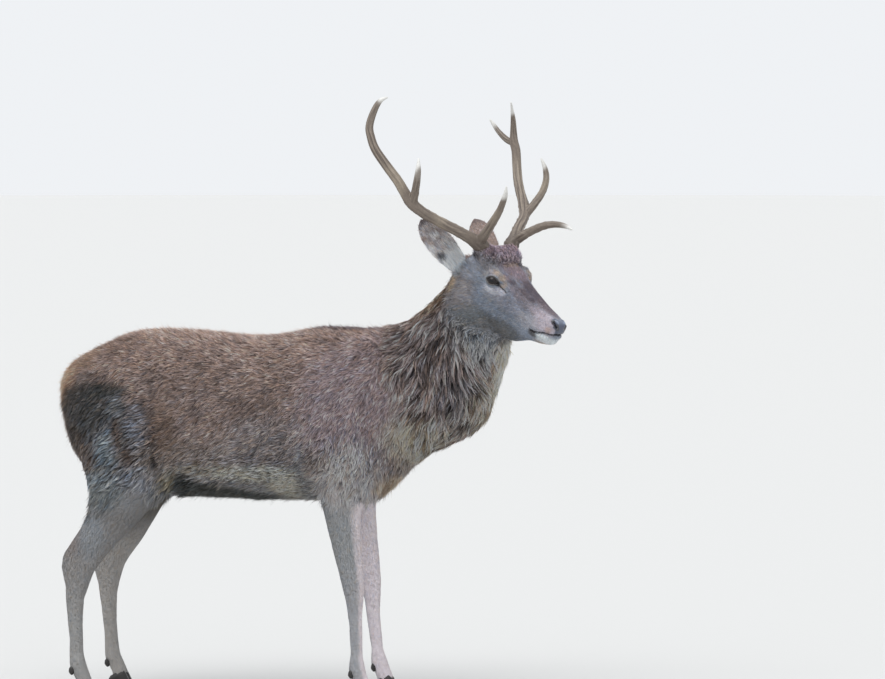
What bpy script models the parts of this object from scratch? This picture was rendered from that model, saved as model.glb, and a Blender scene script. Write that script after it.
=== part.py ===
"""A red deer stag, life size, standing with its head turned to its right: a still museum model.

X runs along the body towards the head, Y to the animal's left and Z up. Lengths are in metres.
The body is lofted from named sections, fused, thinned out and then parted with thin cuts.
"""

import math

import bmesh
import bpy
import numpy as np
from mathutils import Matrix, Vector

GAP = 0.0003  # clearance between neighbouring nodes
FUSE_CELL = 0.005  # cell size with which the lofts are fused into one body
SCRAP = 40  # a loose bit of fewer points than this, left between two cuts, is dropped
BODY_TRIANGLES = 2700
RING = 28

# Where the head sits, between the eyes, and how it is turned, in degrees.
HEAD_AT = Vector((0.8214, -0.0963, 1.2642))
HEAD_YAW = -35.0
HEAD_PITCH = 27.0
HEAD_ROLL = -2.0

FOOT_TOP_FRONT = 0.052  # height of the coronet at the toe
FOOT_TOP_HEEL = 0.035  # and at the heel

# Trunk: station x, height of the back, height of the belly, half width, where it is widest.
TRUNK = (
    (-0.546, 0.968, 0.820, 0.060, 0.45),
    (-0.527, 1.006, 0.760, 0.104, 0.42),
    (-0.490, 1.034, 0.700, 0.136, 0.42),
    (-0.420, 1.067, 0.665, 0.158, 0.42),
    (-0.340, 1.103, 0.662, 0.168, 0.42),
    (-0.250, 1.114, 0.636, 0.174, 0.46),
    (-0.140, 1.112, 0.606, 0.184, 0.52),
    (-0.030, 1.103, 0.600, 0.192, 0.56),
    (0.070, 1.095, 0.595, 0.195, 0.59),
    (0.170, 1.112, 0.597, 0.188, 0.59),
    (0.270, 1.126, 0.594, 0.170, 0.57),
    (0.350, 1.122, 0.590, 0.152, 0.54),
    (0.430, 1.124, 0.606, 0.140, 0.50),
    (0.500, 1.118, 0.672, 0.122, 0.50),
    (0.560, 1.060, 0.745, 0.095, 0.50),
)

# Neck and mane: nape x, y, z, front x, y, z, half width.
NECK = (
    (0.340, 0.000, 1.090, 0.460, 0.000, 0.640, 0.140),
    (0.440, 0.000, 1.121, 0.562, 0.000, 0.732, 0.150),
    (0.505, 0.000, 1.146, 0.655, -0.002, 0.774, 0.146),
    (0.556, -0.003, 1.186, 0.746, -0.010, 0.836, 0.134),
    (0.596, -0.006, 1.226, 0.775, -0.018, 0.918, 0.122),
    (0.628, -0.008, 1.272, 0.801, -0.028, 0.998, 0.111),
    (0.652, -0.010, 1.315, 0.824, -0.038, 1.066, 0.096),
    (0.690, -0.012, 1.345, 0.800, -0.045, 1.130, 0.074),
)

# Head, in its own frame: station, top, bottom, half width, where it is widest, squareness.
HEAD = (
    (-0.150, 0.020, -0.105, 0.052, 0.45, 2.0),
    (-0.115, 0.048, -0.130, 0.070, 0.42, 2.0),
    (-0.070, 0.060, -0.144, 0.077, 0.38, 2.1),
    (-0.025, 0.056, -0.150, 0.078, 0.34, 2.1),
    (0.020, 0.045, -0.156, 0.071, 0.31, 2.1),
    (0.065, 0.032, -0.160, 0.058, 0.33, 2.1),
    (0.110, 0.022, -0.147, 0.048, 0.37, 2.2),
    (0.155, 0.013, -0.119, 0.042, 0.43, 2.3),
    (0.195, 0.004, -0.104, 0.038, 0.46, 2.4),
    (0.222, -0.003, -0.093, 0.034, 0.45, 2.4),
    (0.240, -0.012, -0.079, 0.028, 0.45, 2.3),
    (0.250, -0.026, -0.048, 0.018, 0.50, 2.1),
)

# Legs: height, back, front, half width, and how far out from the middle.
FORE_LEG = (
    (0.800, 0.225, 0.400, 0.070, 0.088),
    (0.700, 0.235, 0.405, 0.066, 0.092),
    (0.630, 0.243, 0.390, 0.059, 0.094),
    (0.570, 0.259, 0.377, 0.051, 0.096),
    (0.510, 0.274, 0.377, 0.045, 0.097),
    (0.450, 0.289, 0.380, 0.040, 0.098),
    (0.390, 0.305, 0.383, 0.035, 0.098),
    (0.345, 0.316, 0.386, 0.034, 0.098),
    (0.310, 0.325, 0.384, 0.031, 0.098),
    (0.265, 0.333, 0.381, 0.026, 0.098),
    (0.200, 0.339, 0.381, 0.023, 0.098),
    (0.140, 0.341, 0.381, 0.023, 0.098),
    (0.100, 0.335, 0.388, 0.029, 0.098),
    (0.075, 0.343, 0.395, 0.029, 0.098),
    (0.050, 0.352, 0.405, 0.031, 0.098),
    (0.020, 0.352, 0.412, 0.031, 0.098),
)
HIND_LEG = (
    (0.960, -0.520, -0.280, 0.075, 0.066),
    (0.900, -0.549, -0.245, 0.092, 0.074),
    (0.840, -0.527, -0.215, 0.094, 0.080),
    (0.780, -0.502, -0.195, 0.090, 0.085),
    (0.700, -0.470, -0.186, 0.079, 0.092),
    (0.630, -0.456, -0.200, 0.068, 0.097),
    (0.570, -0.458, -0.264, 0.056, 0.102),
    (0.510, -0.482, -0.322, 0.045, 0.108),
    (0.450, -0.523, -0.379, 0.036, 0.113),
    (0.415, -0.537, -0.410, 0.033, 0.114),
    (0.380, -0.535, -0.435, 0.033, 0.115),
    (0.340, -0.527, -0.451, 0.030, 0.115),
    (0.300, -0.525, -0.465, 0.027, 0.115),
    (0.240, -0.519, -0.470, 0.025, 0.115),
    (0.170, -0.514, -0.470, 0.024, 0.114),
    (0.130, -0.514, -0.468, 0.025, 0.114),
    (0.100, -0.514, -0.461, 0.030, 0.114),
    (0.075, -0.503, -0.452, 0.029, 0.114),
    (0.050, -0.492, -0.442, 0.031, 0.114),
    (0.020, -0.492, -0.436, 0.031, 0.114),
)
FORE_FOOT = 0.379  # middle of the foot, along X
HIND_FOOT = -0.466
# How far each left leg stands ahead of the right one, by height.
FORE_STEP = ((0.00, 0.044), (0.10, 0.038), (0.21, 0.025), (0.45, 0.019), (0.75, 0.012))
HIND_STEP = ((0.00, 0.066), (0.15, 0.061), (0.30, 0.055), (0.45, 0.040), (0.60, -0.008), (0.75, -0.010))

# Muscles and swellings of the body: centre, radii, turn about Y in degrees. Mirrored if y isn't 0.
MUSCLES = (
    ((0.335, -0.108, 0.900), (0.105, 0.060, 0.215), 18.0),  # shoulder blade
    ((0.350, -0.098, 0.720), (0.080, 0.066, 0.135), -28.0),  # upper arm
    ((0.445, -0.048, 0.745), (0.080, 0.068, 0.100), 20.0),  # breast
    ((-0.330, -0.100, 0.905), (0.165, 0.070, 0.150), 20.0),  # hip and rump
    ((-0.280, -0.105, 0.730), (0.110, 0.062, 0.130), 35.0),  # stifle
    ((-0.120, -0.070, 0.660), (0.110, 0.050, 0.050), 8.0),  # flank fold
    ((-0.190, 0.000, 0.630), (0.070, 0.028, 0.034), 8.0),  # sheath
)
# The same for the head, in its frame.
HEAD_BUMPS = (
    ((-0.004, -0.0620, 0.002), (0.033, 0.0185, 0.029), 0.0),  # orbit
    ((-0.002, -0.0730, 0.028), (0.034, 0.0175, 0.012), 12.0),  # brow
    ((-0.045, -0.0500, -0.075), (0.066, 0.0280, 0.058), 0.0),  # cheek
    ((-0.072, -0.0480, 0.034), (0.044, 0.0370, 0.042), 0.0),  # pedicle
    ((0.229, -0.0160, -0.026), (0.022, 0.0190, 0.020), 20.0),  # nose pad
    ((0.222, 0.0000, -0.072), (0.026, 0.0240, 0.018), 0.0),  # chin
    ((-0.116, -0.0560, -0.028), (0.034, 0.0300, 0.032), 0.0),  # ear root
    ((-0.060, 0.0000, 0.050), (0.050, 0.0440, 0.022), 0.0),  # forelock
)

EYE_AT = (-0.001, 0.0720, 0.000)
EYE_RADIUS = 0.0205

# Ears, in the head's frame: root, tip, the way the hollow faces.
RIGHT_EAR = ((-0.122, -0.070, -0.030), (-0.240, -0.200, 0.076), (0.50, -0.78, 0.36))
LEFT_EAR = ((-0.120, 0.068, -0.026), (-0.300, 0.112, 0.050), (-0.55, 0.78, -0.22))
EAR_HALF_WIDTH = 0.046
EAR_CUP = 0.026
EAR_THICKNESS = 0.0075

# Antlers, in the head's frame: points along each beam and tine, and the radii along them.
RIGHT_LOW = (
    (-0.090, -0.060, 0.056), (-0.098, -0.070, 0.070), (-0.129, -0.117, 0.086), (-0.167, -0.165, 0.097),
    (-0.198, -0.202, 0.105), (-0.221, -0.233, 0.114), (-0.252, -0.254, 0.126), (-0.282, -0.270, 0.148),
)
RIGHT_HIGH = (
    (-0.282, -0.270, 0.148), (-0.312, -0.282, 0.170), (-0.355, -0.298, 0.193), (-0.403, -0.318, 0.223),
    (-0.433, -0.324, 0.250), (-0.455, -0.323, 0.276), (-0.469, -0.312, 0.318), (-0.474, -0.297, 0.350),
    (-0.469, -0.276, 0.366),
)
RIGHT_BROW = (
    (-0.100, -0.074, 0.080), (-0.080, -0.086, 0.131), (-0.064, -0.098, 0.168), (-0.044, -0.115, 0.215),
    (-0.034, -0.130, 0.267), (-0.037, -0.138, 0.299),
)
RIGHT_TREZ = (
    (-0.252, -0.252, 0.126), (-0.248, -0.264, 0.166), (-0.245, -0.279, 0.205), (-0.255, -0.281, 0.238),
    (-0.274, -0.275, 0.264),
)
LEFT_LOW = (
    (-0.090, 0.060, 0.056), (-0.098, 0.070, 0.070), (-0.120, 0.098, 0.086), (-0.146, 0.132, 0.101),
    (-0.174, 0.172, 0.110), (-0.207, 0.212, 0.118), (-0.241, 0.238, 0.128), (-0.270, 0.255, 0.136),
)
LEFT_HIGH = (
    (-0.270, 0.255, 0.136), (-0.310, 0.276, 0.149), (-0.350, 0.297, 0.168), (-0.388, 0.314, 0.198),
    (-0.415, 0.321, 0.228), (-0.443, 0.323, 0.256),
)
LEFT_FRONT = ((-0.436, 0.322, 0.249), (-0.450, 0.321, 0.272), (-0.461, 0.308, 0.312), (-0.468, 0.276, 0.366))
LEFT_REAR = ((-0.436, 0.322, 0.243), (-0.464, 0.321, 0.240), (-0.501, 0.318, 0.247), (-0.525, 0.310, 0.260),
             (-0.540, 0.300, 0.271))
LEFT_TREZ = (
    (-0.205, 0.210, 0.116), (-0.210, 0.240, 0.146), (-0.221, 0.270, 0.185), (-0.234, 0.282, 0.221),
    (-0.253, 0.282, 0.249), (-0.279, 0.275, 0.273),
)
LEFT_BROW = (
    (-0.102, 0.074, 0.078), (-0.086, 0.086, 0.107), (-0.075, 0.096, 0.126), (-0.052, 0.114, 0.158),
    (-0.022, 0.126, 0.181), (0.012, 0.134, 0.194), (0.041, 0.138, 0.196),
)
BURR_RADII = (0.0190, 0.0235, 0.0175, 0.0160, 0.0155, 0.0160, 0.0175, 0.0150)

TAIL = (
    (-0.515, 1.000, 0.018, 0.016),
    (-0.536, 0.968, 0.029, 0.021),
    (-0.543, 0.925, 0.033, 0.022),
    (-0.540, 0.885, 0.026, 0.018),
    (-0.537, 0.862, 0.012, 0.010),
)

COLOURS = {
    "coat": ((0.150, 0.098, 0.062), 0.85),
    "leg": ((0.110, 0.088, 0.070), 0.85),
    "mane": ((0.090, 0.062, 0.044), 0.85),
    "face": ((0.160, 0.120, 0.090), 0.80),
    "antler": ((0.290, 0.225, 0.160), 0.55),
    "hoof": ((0.022, 0.019, 0.017), 0.40),
    "eye": ((0.012, 0.008, 0.006), 0.08),
    "rump": ((0.230, 0.160, 0.100), 0.85),
}


def clear_scene():
    for item in list(bpy.data.objects):
        bpy.data.objects.remove(item, do_unlink=True)


def head_matrix():
    """The head's frame in the world: its X points from the eyes to the nose, its Z up through the brow."""
    turn = Matrix.Rotation(math.radians(HEAD_YAW), 4, "Z")
    nod = Matrix.Rotation(math.radians(HEAD_PITCH), 4, "Y")
    lean = Matrix.Rotation(math.radians(HEAD_ROLL), 4, "X")
    return Matrix.Translation(HEAD_AT) @ turn @ nod @ lean


HEAD_FRAME = head_matrix()


def through(rows, spans):
    """Catmull-Rom rows through the given rows, with this many steps in each span."""
    rows = np.array(rows, float)
    ends = np.vstack([2 * rows[0] - rows[1], rows, 2 * rows[-1] - rows[-2]])
    out = []
    for i in range(1, len(ends) - 2):
        before, start, stop, after = ends[i - 1 : i + 3]
        for t in np.arange(spans) / spans:
            out.append(
                0.5
                * (
                    2 * start
                    + (stop - before) * t
                    + (2 * before - 5 * start + 4 * stop - after) * t**2
                    + (3 * start - before - 3 * stop + after) * t**3
                )
            )
    out.append(rows[-1])
    return np.array(out)


def add_object(name, mesh):
    thing = bpy.data.objects.new(name, mesh)
    bpy.context.scene.collection.objects.link(thing)
    return thing


def closed_tube(rings, name="tube", frame=None):
    """A closed mesh over rings of equally many points, with a flat fan at each end."""
    shape = bmesh.new()
    rows = []
    for ring in rings:
        rows.append([shape.verts.new(tuple(p)) for p in ring])
    for low, high in zip(rows, rows[1:]):
        for i in range(len(low)):
            j = (i + 1) % len(low)
            shape.faces.new((low[i], low[j], high[j], high[i]))
    shape.faces.new(rows[0][::-1])
    shape.faces.new(rows[-1])
    bmesh.ops.triangulate(shape, faces=shape.faces)
    bmesh.ops.recalc_face_normals(shape, faces=shape.faces)
    mesh = bpy.data.meshes.new(name)
    shape.to_mesh(mesh)
    shape.free()
    if frame is not None:
        mesh.transform(frame)
    return add_object(name, mesh)


def oval(upper, lower, across, half_width, split=0.5, power=2.0, count=RING):
    """A ring from an upper to a lower point, widest at this share of the way, rounded or squared."""
    upper, lower, across = np.array(upper), np.array(lower), np.array(across)
    middle = upper + (lower - upper) * split
    ring = []
    for i in range(count):
        angle = 2 * math.pi * i / count
        c, s = math.cos(angle), math.sin(angle)
        along = math.copysign(abs(c) ** (2 / power), c)
        aside = math.copysign(abs(s) ** (2 / power), s)
        reach = (upper - middle) if along > 0 else (middle - lower)
        ring.append(middle + reach * along + across * half_width * aside)
    return ring


def trunk():
    rings = []
    for x, top, bottom, width, split in through(TRUNK, 4):
        rings.append(oval((x, 0, top), (x, 0, bottom), (0, 1, 0), width, split, 2.02))
    return closed_tube(rings)


def neck():
    rows = through(NECK, 4)
    middles = (rows[:, 0:3] + rows[:, 3:6]) / 2
    ways = np.gradient(middles, axis=0)
    rings = []
    for row, way in zip(rows, ways):
        across = np.cross(way, row[0:3] - row[3:6])
        across /= np.linalg.norm(across)
        rings.append(oval(row[0:3], row[3:6], across, row[6], 0.50, 1.95))
    return closed_tube(rings)


def skull():
    rings = []
    for x, top, bottom, width, split, power in through(HEAD, 4):
        rings.append(oval((x, 0, top), (x, 0, bottom), (0, 1, 0), width, split, power))
    return closed_tube(rings, frame=HEAD_FRAME)


def step_of(z, steps, side):
    """How far ahead the left leg stands at this height."""
    if side < 0:
        return 0.0
    return float(np.interp(z, [row[0] for row in steps], [row[1] for row in steps]))


def leg(rows, steps, side):
    rings = []
    for z, back, front, width, out in through(rows, 3):
        ahead = step_of(z, steps, side)
        y = side * out
        ring = oval((front + ahead, y, z), (back + ahead, y, z), (0, 1, 0), width, 0.48, 2.1)
        rings.append(ring)
    return closed_tube(rings)


def blob(centre, radii, turn, frame=None):
    """A ball stretched to these radii and turned about Y."""
    shape = bmesh.new()
    bmesh.ops.create_icosphere(shape, subdivisions=3, radius=1.0)
    mesh = bpy.data.meshes.new("blob")
    shape.to_mesh(mesh)
    shape.free()
    placed = Matrix.Translation(centre) @ Matrix.Rotation(math.radians(turn), 4, "Y") @ Matrix.Diagonal((*radii, 1.0))
    mesh.transform(placed if frame is None else frame @ placed)
    return add_object("blob", mesh)


def both_sides(rows, frame=None):
    made = []
    for (x, y, z), radii, turn in rows:
        for side in (1,) if y == 0 else (1, -1):
            made.append(blob((x, y * side, z), radii, turn, frame))
    return made


def join(things, name):
    """One object holding copies of these objects' faces; the objects go."""
    shape = bmesh.new()
    for thing in things:
        shape.from_mesh(thing.data)
        bpy.data.objects.remove(thing, do_unlink=True)
    mesh = bpy.data.meshes.new(name)
    shape.to_mesh(mesh)
    shape.free()
    return add_object(name, mesh)


def settle(thing):
    """Puts what the modifiers make into the object's own mesh."""
    bpy.context.view_layer.update()
    graph = bpy.context.evaluated_depsgraph_get()
    mesh = bpy.data.meshes.new_from_object(thing.evaluated_get(graph))
    thing.modifiers.clear()
    thing.data = mesh


def fuse(thing, cell, rounds, trunk_rounds):
    """One skin round everything, its muscles blended into the trunk and less so into head and legs."""
    remesh = thing.modifiers.new("fuse", "REMESH")
    remesh.mode = "VOXEL"
    remesh.voxel_size = cell
    settle(thing)
    group = thing.vertex_groups.new(name="trunk")
    inside = HEAD_FRAME.inverted()
    for vertex in thing.data.vertices:
        spot = inside @ vertex.co
        low = min(max((vertex.co.z - 0.50) / 0.12, 0.0), 1.0)
        back = min(max((-0.08 - spot.x) / 0.08, (-0.15 - spot.z) / 0.06, 0.0), 1.0)
        group.add([vertex.index], low * back, "REPLACE")
    blend = thing.modifiers.new("blend", "SMOOTH")
    blend.factor = 0.5
    blend.iterations = trunk_rounds
    blend.vertex_group = "trunk"
    smooth = thing.modifiers.new("soften", "SMOOTH")
    smooth.factor = 0.5
    smooth.iterations = rounds
    settle(thing)
    thing.vertex_groups.clear()


def thin_out(thing, triangles):
    """Fewer triangles, spent on the head and the feet first."""
    group = thing.vertex_groups.new(name="keep")
    inside = HEAD_FRAME.inverted()
    for vertex in thing.data.vertices:
        spot = inside @ vertex.co
        weight = 1.0
        if spot.x > -0.14 and spot.z > -0.16:
            weight = 0.45
        elif vertex.co.z < 0.62:
            weight = 0.75
        group.add([vertex.index], weight, "REPLACE")
    cut = thing.modifiers.new("thin", "DECIMATE")
    cut.vertex_group = "keep"
    cut.vertex_group_factor = 0.0002
    cut.ratio = triangles / (2 * len(thing.data.polygons))
    cut.use_collapse_triangulate = True
    settle(thing)
    thing.vertex_groups.clear()


def boolean(thing, cutter, operation="DIFFERENCE"):
    change = thing.modifiers.new("cut", "BOOLEAN")
    change.operation = operation
    change.solver = "EXACT"
    change.object = cutter
    settle(thing)


def cut_with(thing, cutter):
    boolean(thing, cutter)
    bpy.data.objects.remove(cutter, do_unlink=True)


def blade(path, low, high):
    """A bent sheet GAP thick: its path lies in the XZ plane and it reaches from low to high in Y."""
    path = [Vector((x, 0.0, z)) for x, z in path]
    rings = []
    for i, point in enumerate(path):
        way = path[min(i + 1, len(path) - 1)] - path[max(i - 1, 0)]
        aside = Vector((way.z, 0.0, -way.x)).normalized() * (GAP / 2)
        corners = []
        for side, y in ((1, low), (1, high), (-1, high), (-1, low)):
            corners.append(point + aside * side + Vector((0.0, y, 0.0)))
        rings.append(corners)
    return closed_tube(rings, "blade")


def inflated(thing, amount):
    """A copy whose surface stands off by this amount, to cut with."""
    copy = add_object("cutter", thing.data.copy())
    shape = bmesh.new()
    shape.from_mesh(copy.data)
    bmesh.ops.recalc_face_normals(shape, faces=shape.faces)
    shape.normal_update()
    for vertex in shape.verts:
        vertex.co += vertex.normal * amount * min(vertex.calc_shell_factor(), 1.6)
    shape.to_mesh(copy.data)
    shape.free()
    return copy


def rod(path, radii, steps, name, around=8):
    """A round bar along a curve, in the head's frame."""
    rows = through([(*p, r) for p, r in zip(path, radii)], steps)
    ways = np.gradient(rows[:, :3], axis=0)
    ways /= np.linalg.norm(ways, axis=1)[:, None]
    across = np.cross(ways[0], (0.0, 0.3, 1.0))
    rings = []
    for row, way in zip(rows, ways):
        across = across - way * across.dot(way)
        across /= np.linalg.norm(across)
        other = np.cross(way, across)
        ring = []
        for i in range(around):
            angle = 2 * math.pi * i / around
            ring.append(row[:3] + row[3] * (across * math.cos(angle) + other * math.sin(angle)))
        rings.append(ring)
    return closed_tube(rings, name, HEAD_FRAME)


def spread_radii(path, start, end, tip=None):
    """Radii that fall evenly from start to end, then quickly to the tip."""
    count = len(path)
    radii = [start + (end - start) * i / (count - 1) for i in range(count)]
    if tip is not None:
        radii[-1] = tip
    return radii


def antlers():
    """Both antlers, parted at the main forks."""
    made = {}
    plan = (
        ("antler_right_beam_low", RIGHT_LOW, BURR_RADII, 2),
        ("antler_right_beam_high", RIGHT_HIGH, spread_radii(RIGHT_HIGH, 0.0150, 0.0085, 0.0030), 2),
        ("antler_right_brow_tine", RIGHT_BROW, spread_radii(RIGHT_BROW, 0.0150, 0.0075, 0.0028), 2),
        ("antler_right_trez_tine", RIGHT_TREZ, spread_radii(RIGHT_TREZ, 0.0130, 0.0080, 0.0028), 2),
        ("antler_left_beam_low", LEFT_LOW, BURR_RADII, 2),
        ("antler_left_beam_high", LEFT_HIGH, spread_radii(LEFT_HIGH, 0.0145, 0.0140), 2),
        ("antler_left_front_tine", LEFT_FRONT, spread_radii(LEFT_FRONT, 0.0115, 0.0075, 0.0028), 2),
        ("antler_left_rear_tine", LEFT_REAR, spread_radii(LEFT_REAR, 0.0105, 0.0070, 0.0028), 2),
        ("antler_left_brow_tine", LEFT_BROW, spread_radii(LEFT_BROW, 0.0150, 0.0075, 0.0028), 2),
        ("antler_left_trez_tine", LEFT_TREZ, spread_radii(LEFT_TREZ, 0.0130, 0.0080, 0.0028), 2),
    )
    for name, path, radii, steps in plan:
        made[name] = rod(path, radii, steps, name)
    for child, parents in (
        ("antler_right_beam_high", ("antler_right_beam_low",)),
        ("antler_right_brow_tine", ("antler_right_beam_low",)),
        ("antler_right_trez_tine", ("antler_right_beam_low", "antler_right_beam_high")),
        ("antler_left_beam_high", ("antler_left_beam_low",)),
        ("antler_left_brow_tine", ("antler_left_beam_low",)),
        ("antler_left_trez_tine", ("antler_left_beam_low", "antler_left_beam_high")),
        ("antler_left_front_tine", ("antler_left_beam_high",)),
        ("antler_left_rear_tine", ("antler_left_beam_high", "antler_left_front_tine")),
    ):
        for parent in parents:
            cut_with(made[child], inflated(made[parent], GAP))
    return made


def ear(name, spec):
    """A thick leaf, cupped towards the way it faces, from a narrow root to a blunt point."""
    root, tip, facing = (Vector(v) for v in spec)
    along = tip - root
    side = facing.cross(along).normalized()
    face = along.cross(side).normalized()
    if face.dot(facing) < 0:
        face.negate()
    rows, columns = 9, 6
    front, back = [], []
    for i in range(rows + 1):
        t = 1 - (1 - i / rows) ** 1.5
        width = EAR_HALF_WIDTH * (0.52 + 1.05 * t * (1 - 0.45 * t)) * math.sqrt(max(1 - t**3.2, 0.0))
        width = max(width, 0.0035)
        cup = EAR_CUP * (1 - 0.65 * t)
        thick = EAR_THICKNESS * (1.25 - 0.75 * t)
        line_front, line_back = [], []
        for j in range(columns + 1):
            v = -1 + 2 * j / columns
            bend = cup * (v * v - 0.35)
            middle = root + along * t + side * (width * v) + face * bend
            half = thick * (0.5 - 0.30 * v * v)
            line_front.append(middle + face * half)
            line_back.append(middle - face * half)
        front.append(line_front)
        back.append(line_back)
    rings = [a + b[::-1] for a, b in zip(front, back)]
    return closed_tube(rings, name, HEAD_FRAME)


def eye(name, side):
    shape = bmesh.new()
    bmesh.ops.create_icosphere(shape, subdivisions=2, radius=EYE_RADIUS)
    mesh = bpy.data.meshes.new(name)
    shape.to_mesh(mesh)
    shape.free()
    x, y, z = EYE_AT
    mesh.transform(HEAD_FRAME @ Matrix.Translation((x, side * y, z)))
    return add_object(name, mesh)


def tail():
    rings = []
    for x, z, width, depth in through(TAIL, 2):
        rings.append(oval((x + depth, 0, z), (x - depth, 0, z), (0, 1, 0), width, 0.5, 2.0, 10))
    return closed_tube(rings, "tail")


def hoof(name, x, y, side):
    """One claw: flat sole, straight inner wall, sloping toe, and a top that follows the coronet."""
    rings = []
    for share in (0.0, 0.14, 1.0):
        toe = (x + 0.044 - 0.022 * share, FOOT_TOP_FRONT * share)
        heel = (x - 0.033 - 0.005 * share, FOOT_TOP_HEEL * share)
        width = 0.0148 - 0.0008 * share if share else 0.0138
        if not share:
            toe, heel = (toe[0] - 0.002, 0.0), (heel[0] + 0.002, 0.0)
        ring = oval((toe[0], y, toe[1]), (heel[0], y, heel[1]), (0, 1, 0), width, 0.60, 2.5, 12)
        inner = y - side * 0.0128
        ring = [(p[0], p[1] if (p[1] - inner) * side > 0 else inner, p[2]) for p in ring]
        rings.append(ring)
    return closed_tube(rings, name)


def dewclaw(name, x, y, z):
    """A small blunt claw behind the fetlock, pointing down and back."""
    shape = bmesh.new()
    bmesh.ops.create_icosphere(shape, subdivisions=1, radius=1.0)
    mesh = bpy.data.meshes.new(name)
    shape.to_mesh(mesh)
    shape.free()
    tilt = Matrix.Rotation(math.radians(22), 4, "Y")
    mesh.transform(Matrix.Translation((x, y, z)) @ tilt @ Matrix.Diagonal((0.0085, 0.0080, 0.0145, 1.0)))
    return add_object(name, mesh)


def feet():
    """Hooves and dewclaws of all four feet, and the wedges that end the pasterns above them."""
    claws, wedges = {}, []
    for leg_name, middle, out, steps, back in (
        ("fore", FORE_FOOT, FORE_LEG[-1][4], FORE_STEP, 0.347),
        ("hind", HIND_FOOT, HIND_LEG[-1][4], HIND_STEP, -0.503),
    ):
        for side_name, side in (("right", -1), ("left", 1)):
            ahead = step_of(0.0, steps, side)
            for part, offset in (("outer", side * 0.0162), ("inner", -side * 0.0162)):
                name = f"hoof_{leg_name}_{side_name}_{part}"
                claws[name] = hoof(name, middle + ahead, side * out + offset, math.copysign(1, offset))
                name = f"dewclaw_{leg_name}_{side_name}_{part}"
                place = (back + step_of(0.08, steps, side), side * out + offset * 1.02, 0.083)
                claws[name] = dewclaw(name, *place)
            x = middle + ahead
            slope = (FOOT_TOP_FRONT - FOOT_TOP_HEEL) / 0.060
            front, rear = x + 0.08, x - 0.09
            level = FOOT_TOP_FRONT + GAP
            corners = []
            for y in (side * out - 0.05, side * out + 0.05):
                corners.append(
                    [
                        (rear, y, -0.05),
                        (front, y, -0.05),
                        (front, y, level + slope * (front - x - 0.022)),
                        (rear, y, level + slope * (rear - x - 0.022)),
                    ]
                )
            wedges.append(closed_tube(corners, "wedge"))
    return claws, wedges


def head_blade():
    """The cut behind the cheeks and under the jaw, across the head's own width."""
    path = ((-0.225, 0.060), (-0.160, -0.060), (-0.095, -0.145), (0.030, -0.158), (0.160, -0.200))
    rings = []
    for i, (x, z) in enumerate(path):
        before, after = path[max(i - 1, 0)], path[min(i + 1, len(path) - 1)]
        way = Vector((after[0] - before[0], 0.0, after[1] - before[1]))
        aside = Vector((way.z, 0.0, -way.x)).normalized() * (GAP / 2)
        corners = []
        for side, y in ((1, -0.25), (1, 0.25), (-1, 0.25), (-1, -0.25)):
            corners.append(Vector((x, y, z)) + aside * side)
        rings.append(corners)
    return closed_tube(rings, "blade", HEAD_FRAME)


def part_body(body):
    """Cuts the body into its named nodes and returns them by name."""
    for path in (
        ((0.425, 1.22), (0.455, 0.98), (0.520, 0.80), (0.600, 0.60)),  # neck from chest
        ((0.060, 1.20), (0.060, 0.50)),  # chest from belly
        ((-0.225, 1.20), (-0.150, 0.80), (-0.120, 0.50)),  # belly from rump
        ((-0.60, 0.652), (-0.33, 0.648), (-0.265, 0.615), (-0.235, 0.56), (-0.22, 0.45)),  # thighs from rump
        ((-0.60, 0.500), (-0.20, 0.440)),  # cannons from thighs
        ((-0.60, 0.125), (-0.30, 0.125)),  # pasterns from cannons
        ((0.15, 0.586), (0.55, 0.586)),  # forearms from chest
        ((0.15, 0.385), (0.55, 0.385)),  # cannons from forearms
        ((0.15, 0.125), (0.55, 0.125)),  # pasterns from cannons
    ):
        cut_with(body, blade(path, -0.40, 0.40))
    cut_with(body, head_blade())
    places = {
        "head": HEAD_FRAME @ Vector((0.05, 0.0, -0.05)),
        "neck": Vector((0.66, 0.0, 1.00)),
        "chest": Vector((0.30, 0.0, 0.85)),
        "belly": Vector((-0.05, 0.0, 0.85)),
        "rump": Vector((-0.36, 0.0, 0.87)),
    }
    for side_name, side in (("right", -1), ("left", 1)):
        for name, x, z, steps in (
            ("forearm", 0.32, 0.485, FORE_STEP),
            ("fore_cannon", 0.355, 0.25, FORE_STEP),
            ("fore_pastern", 0.375, 0.085, FORE_STEP),
            ("thigh", -0.35, 0.56, HIND_STEP),
            ("hind_cannon", -0.480, 0.31, HIND_STEP),
            ("hind_pastern", -0.48, 0.085, HIND_STEP),
        ):
            places[f"{name}_{side_name}"] = Vector((x + step_of(z, steps, side), side * 0.105, z))
    return name_pieces(body, places)


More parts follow.
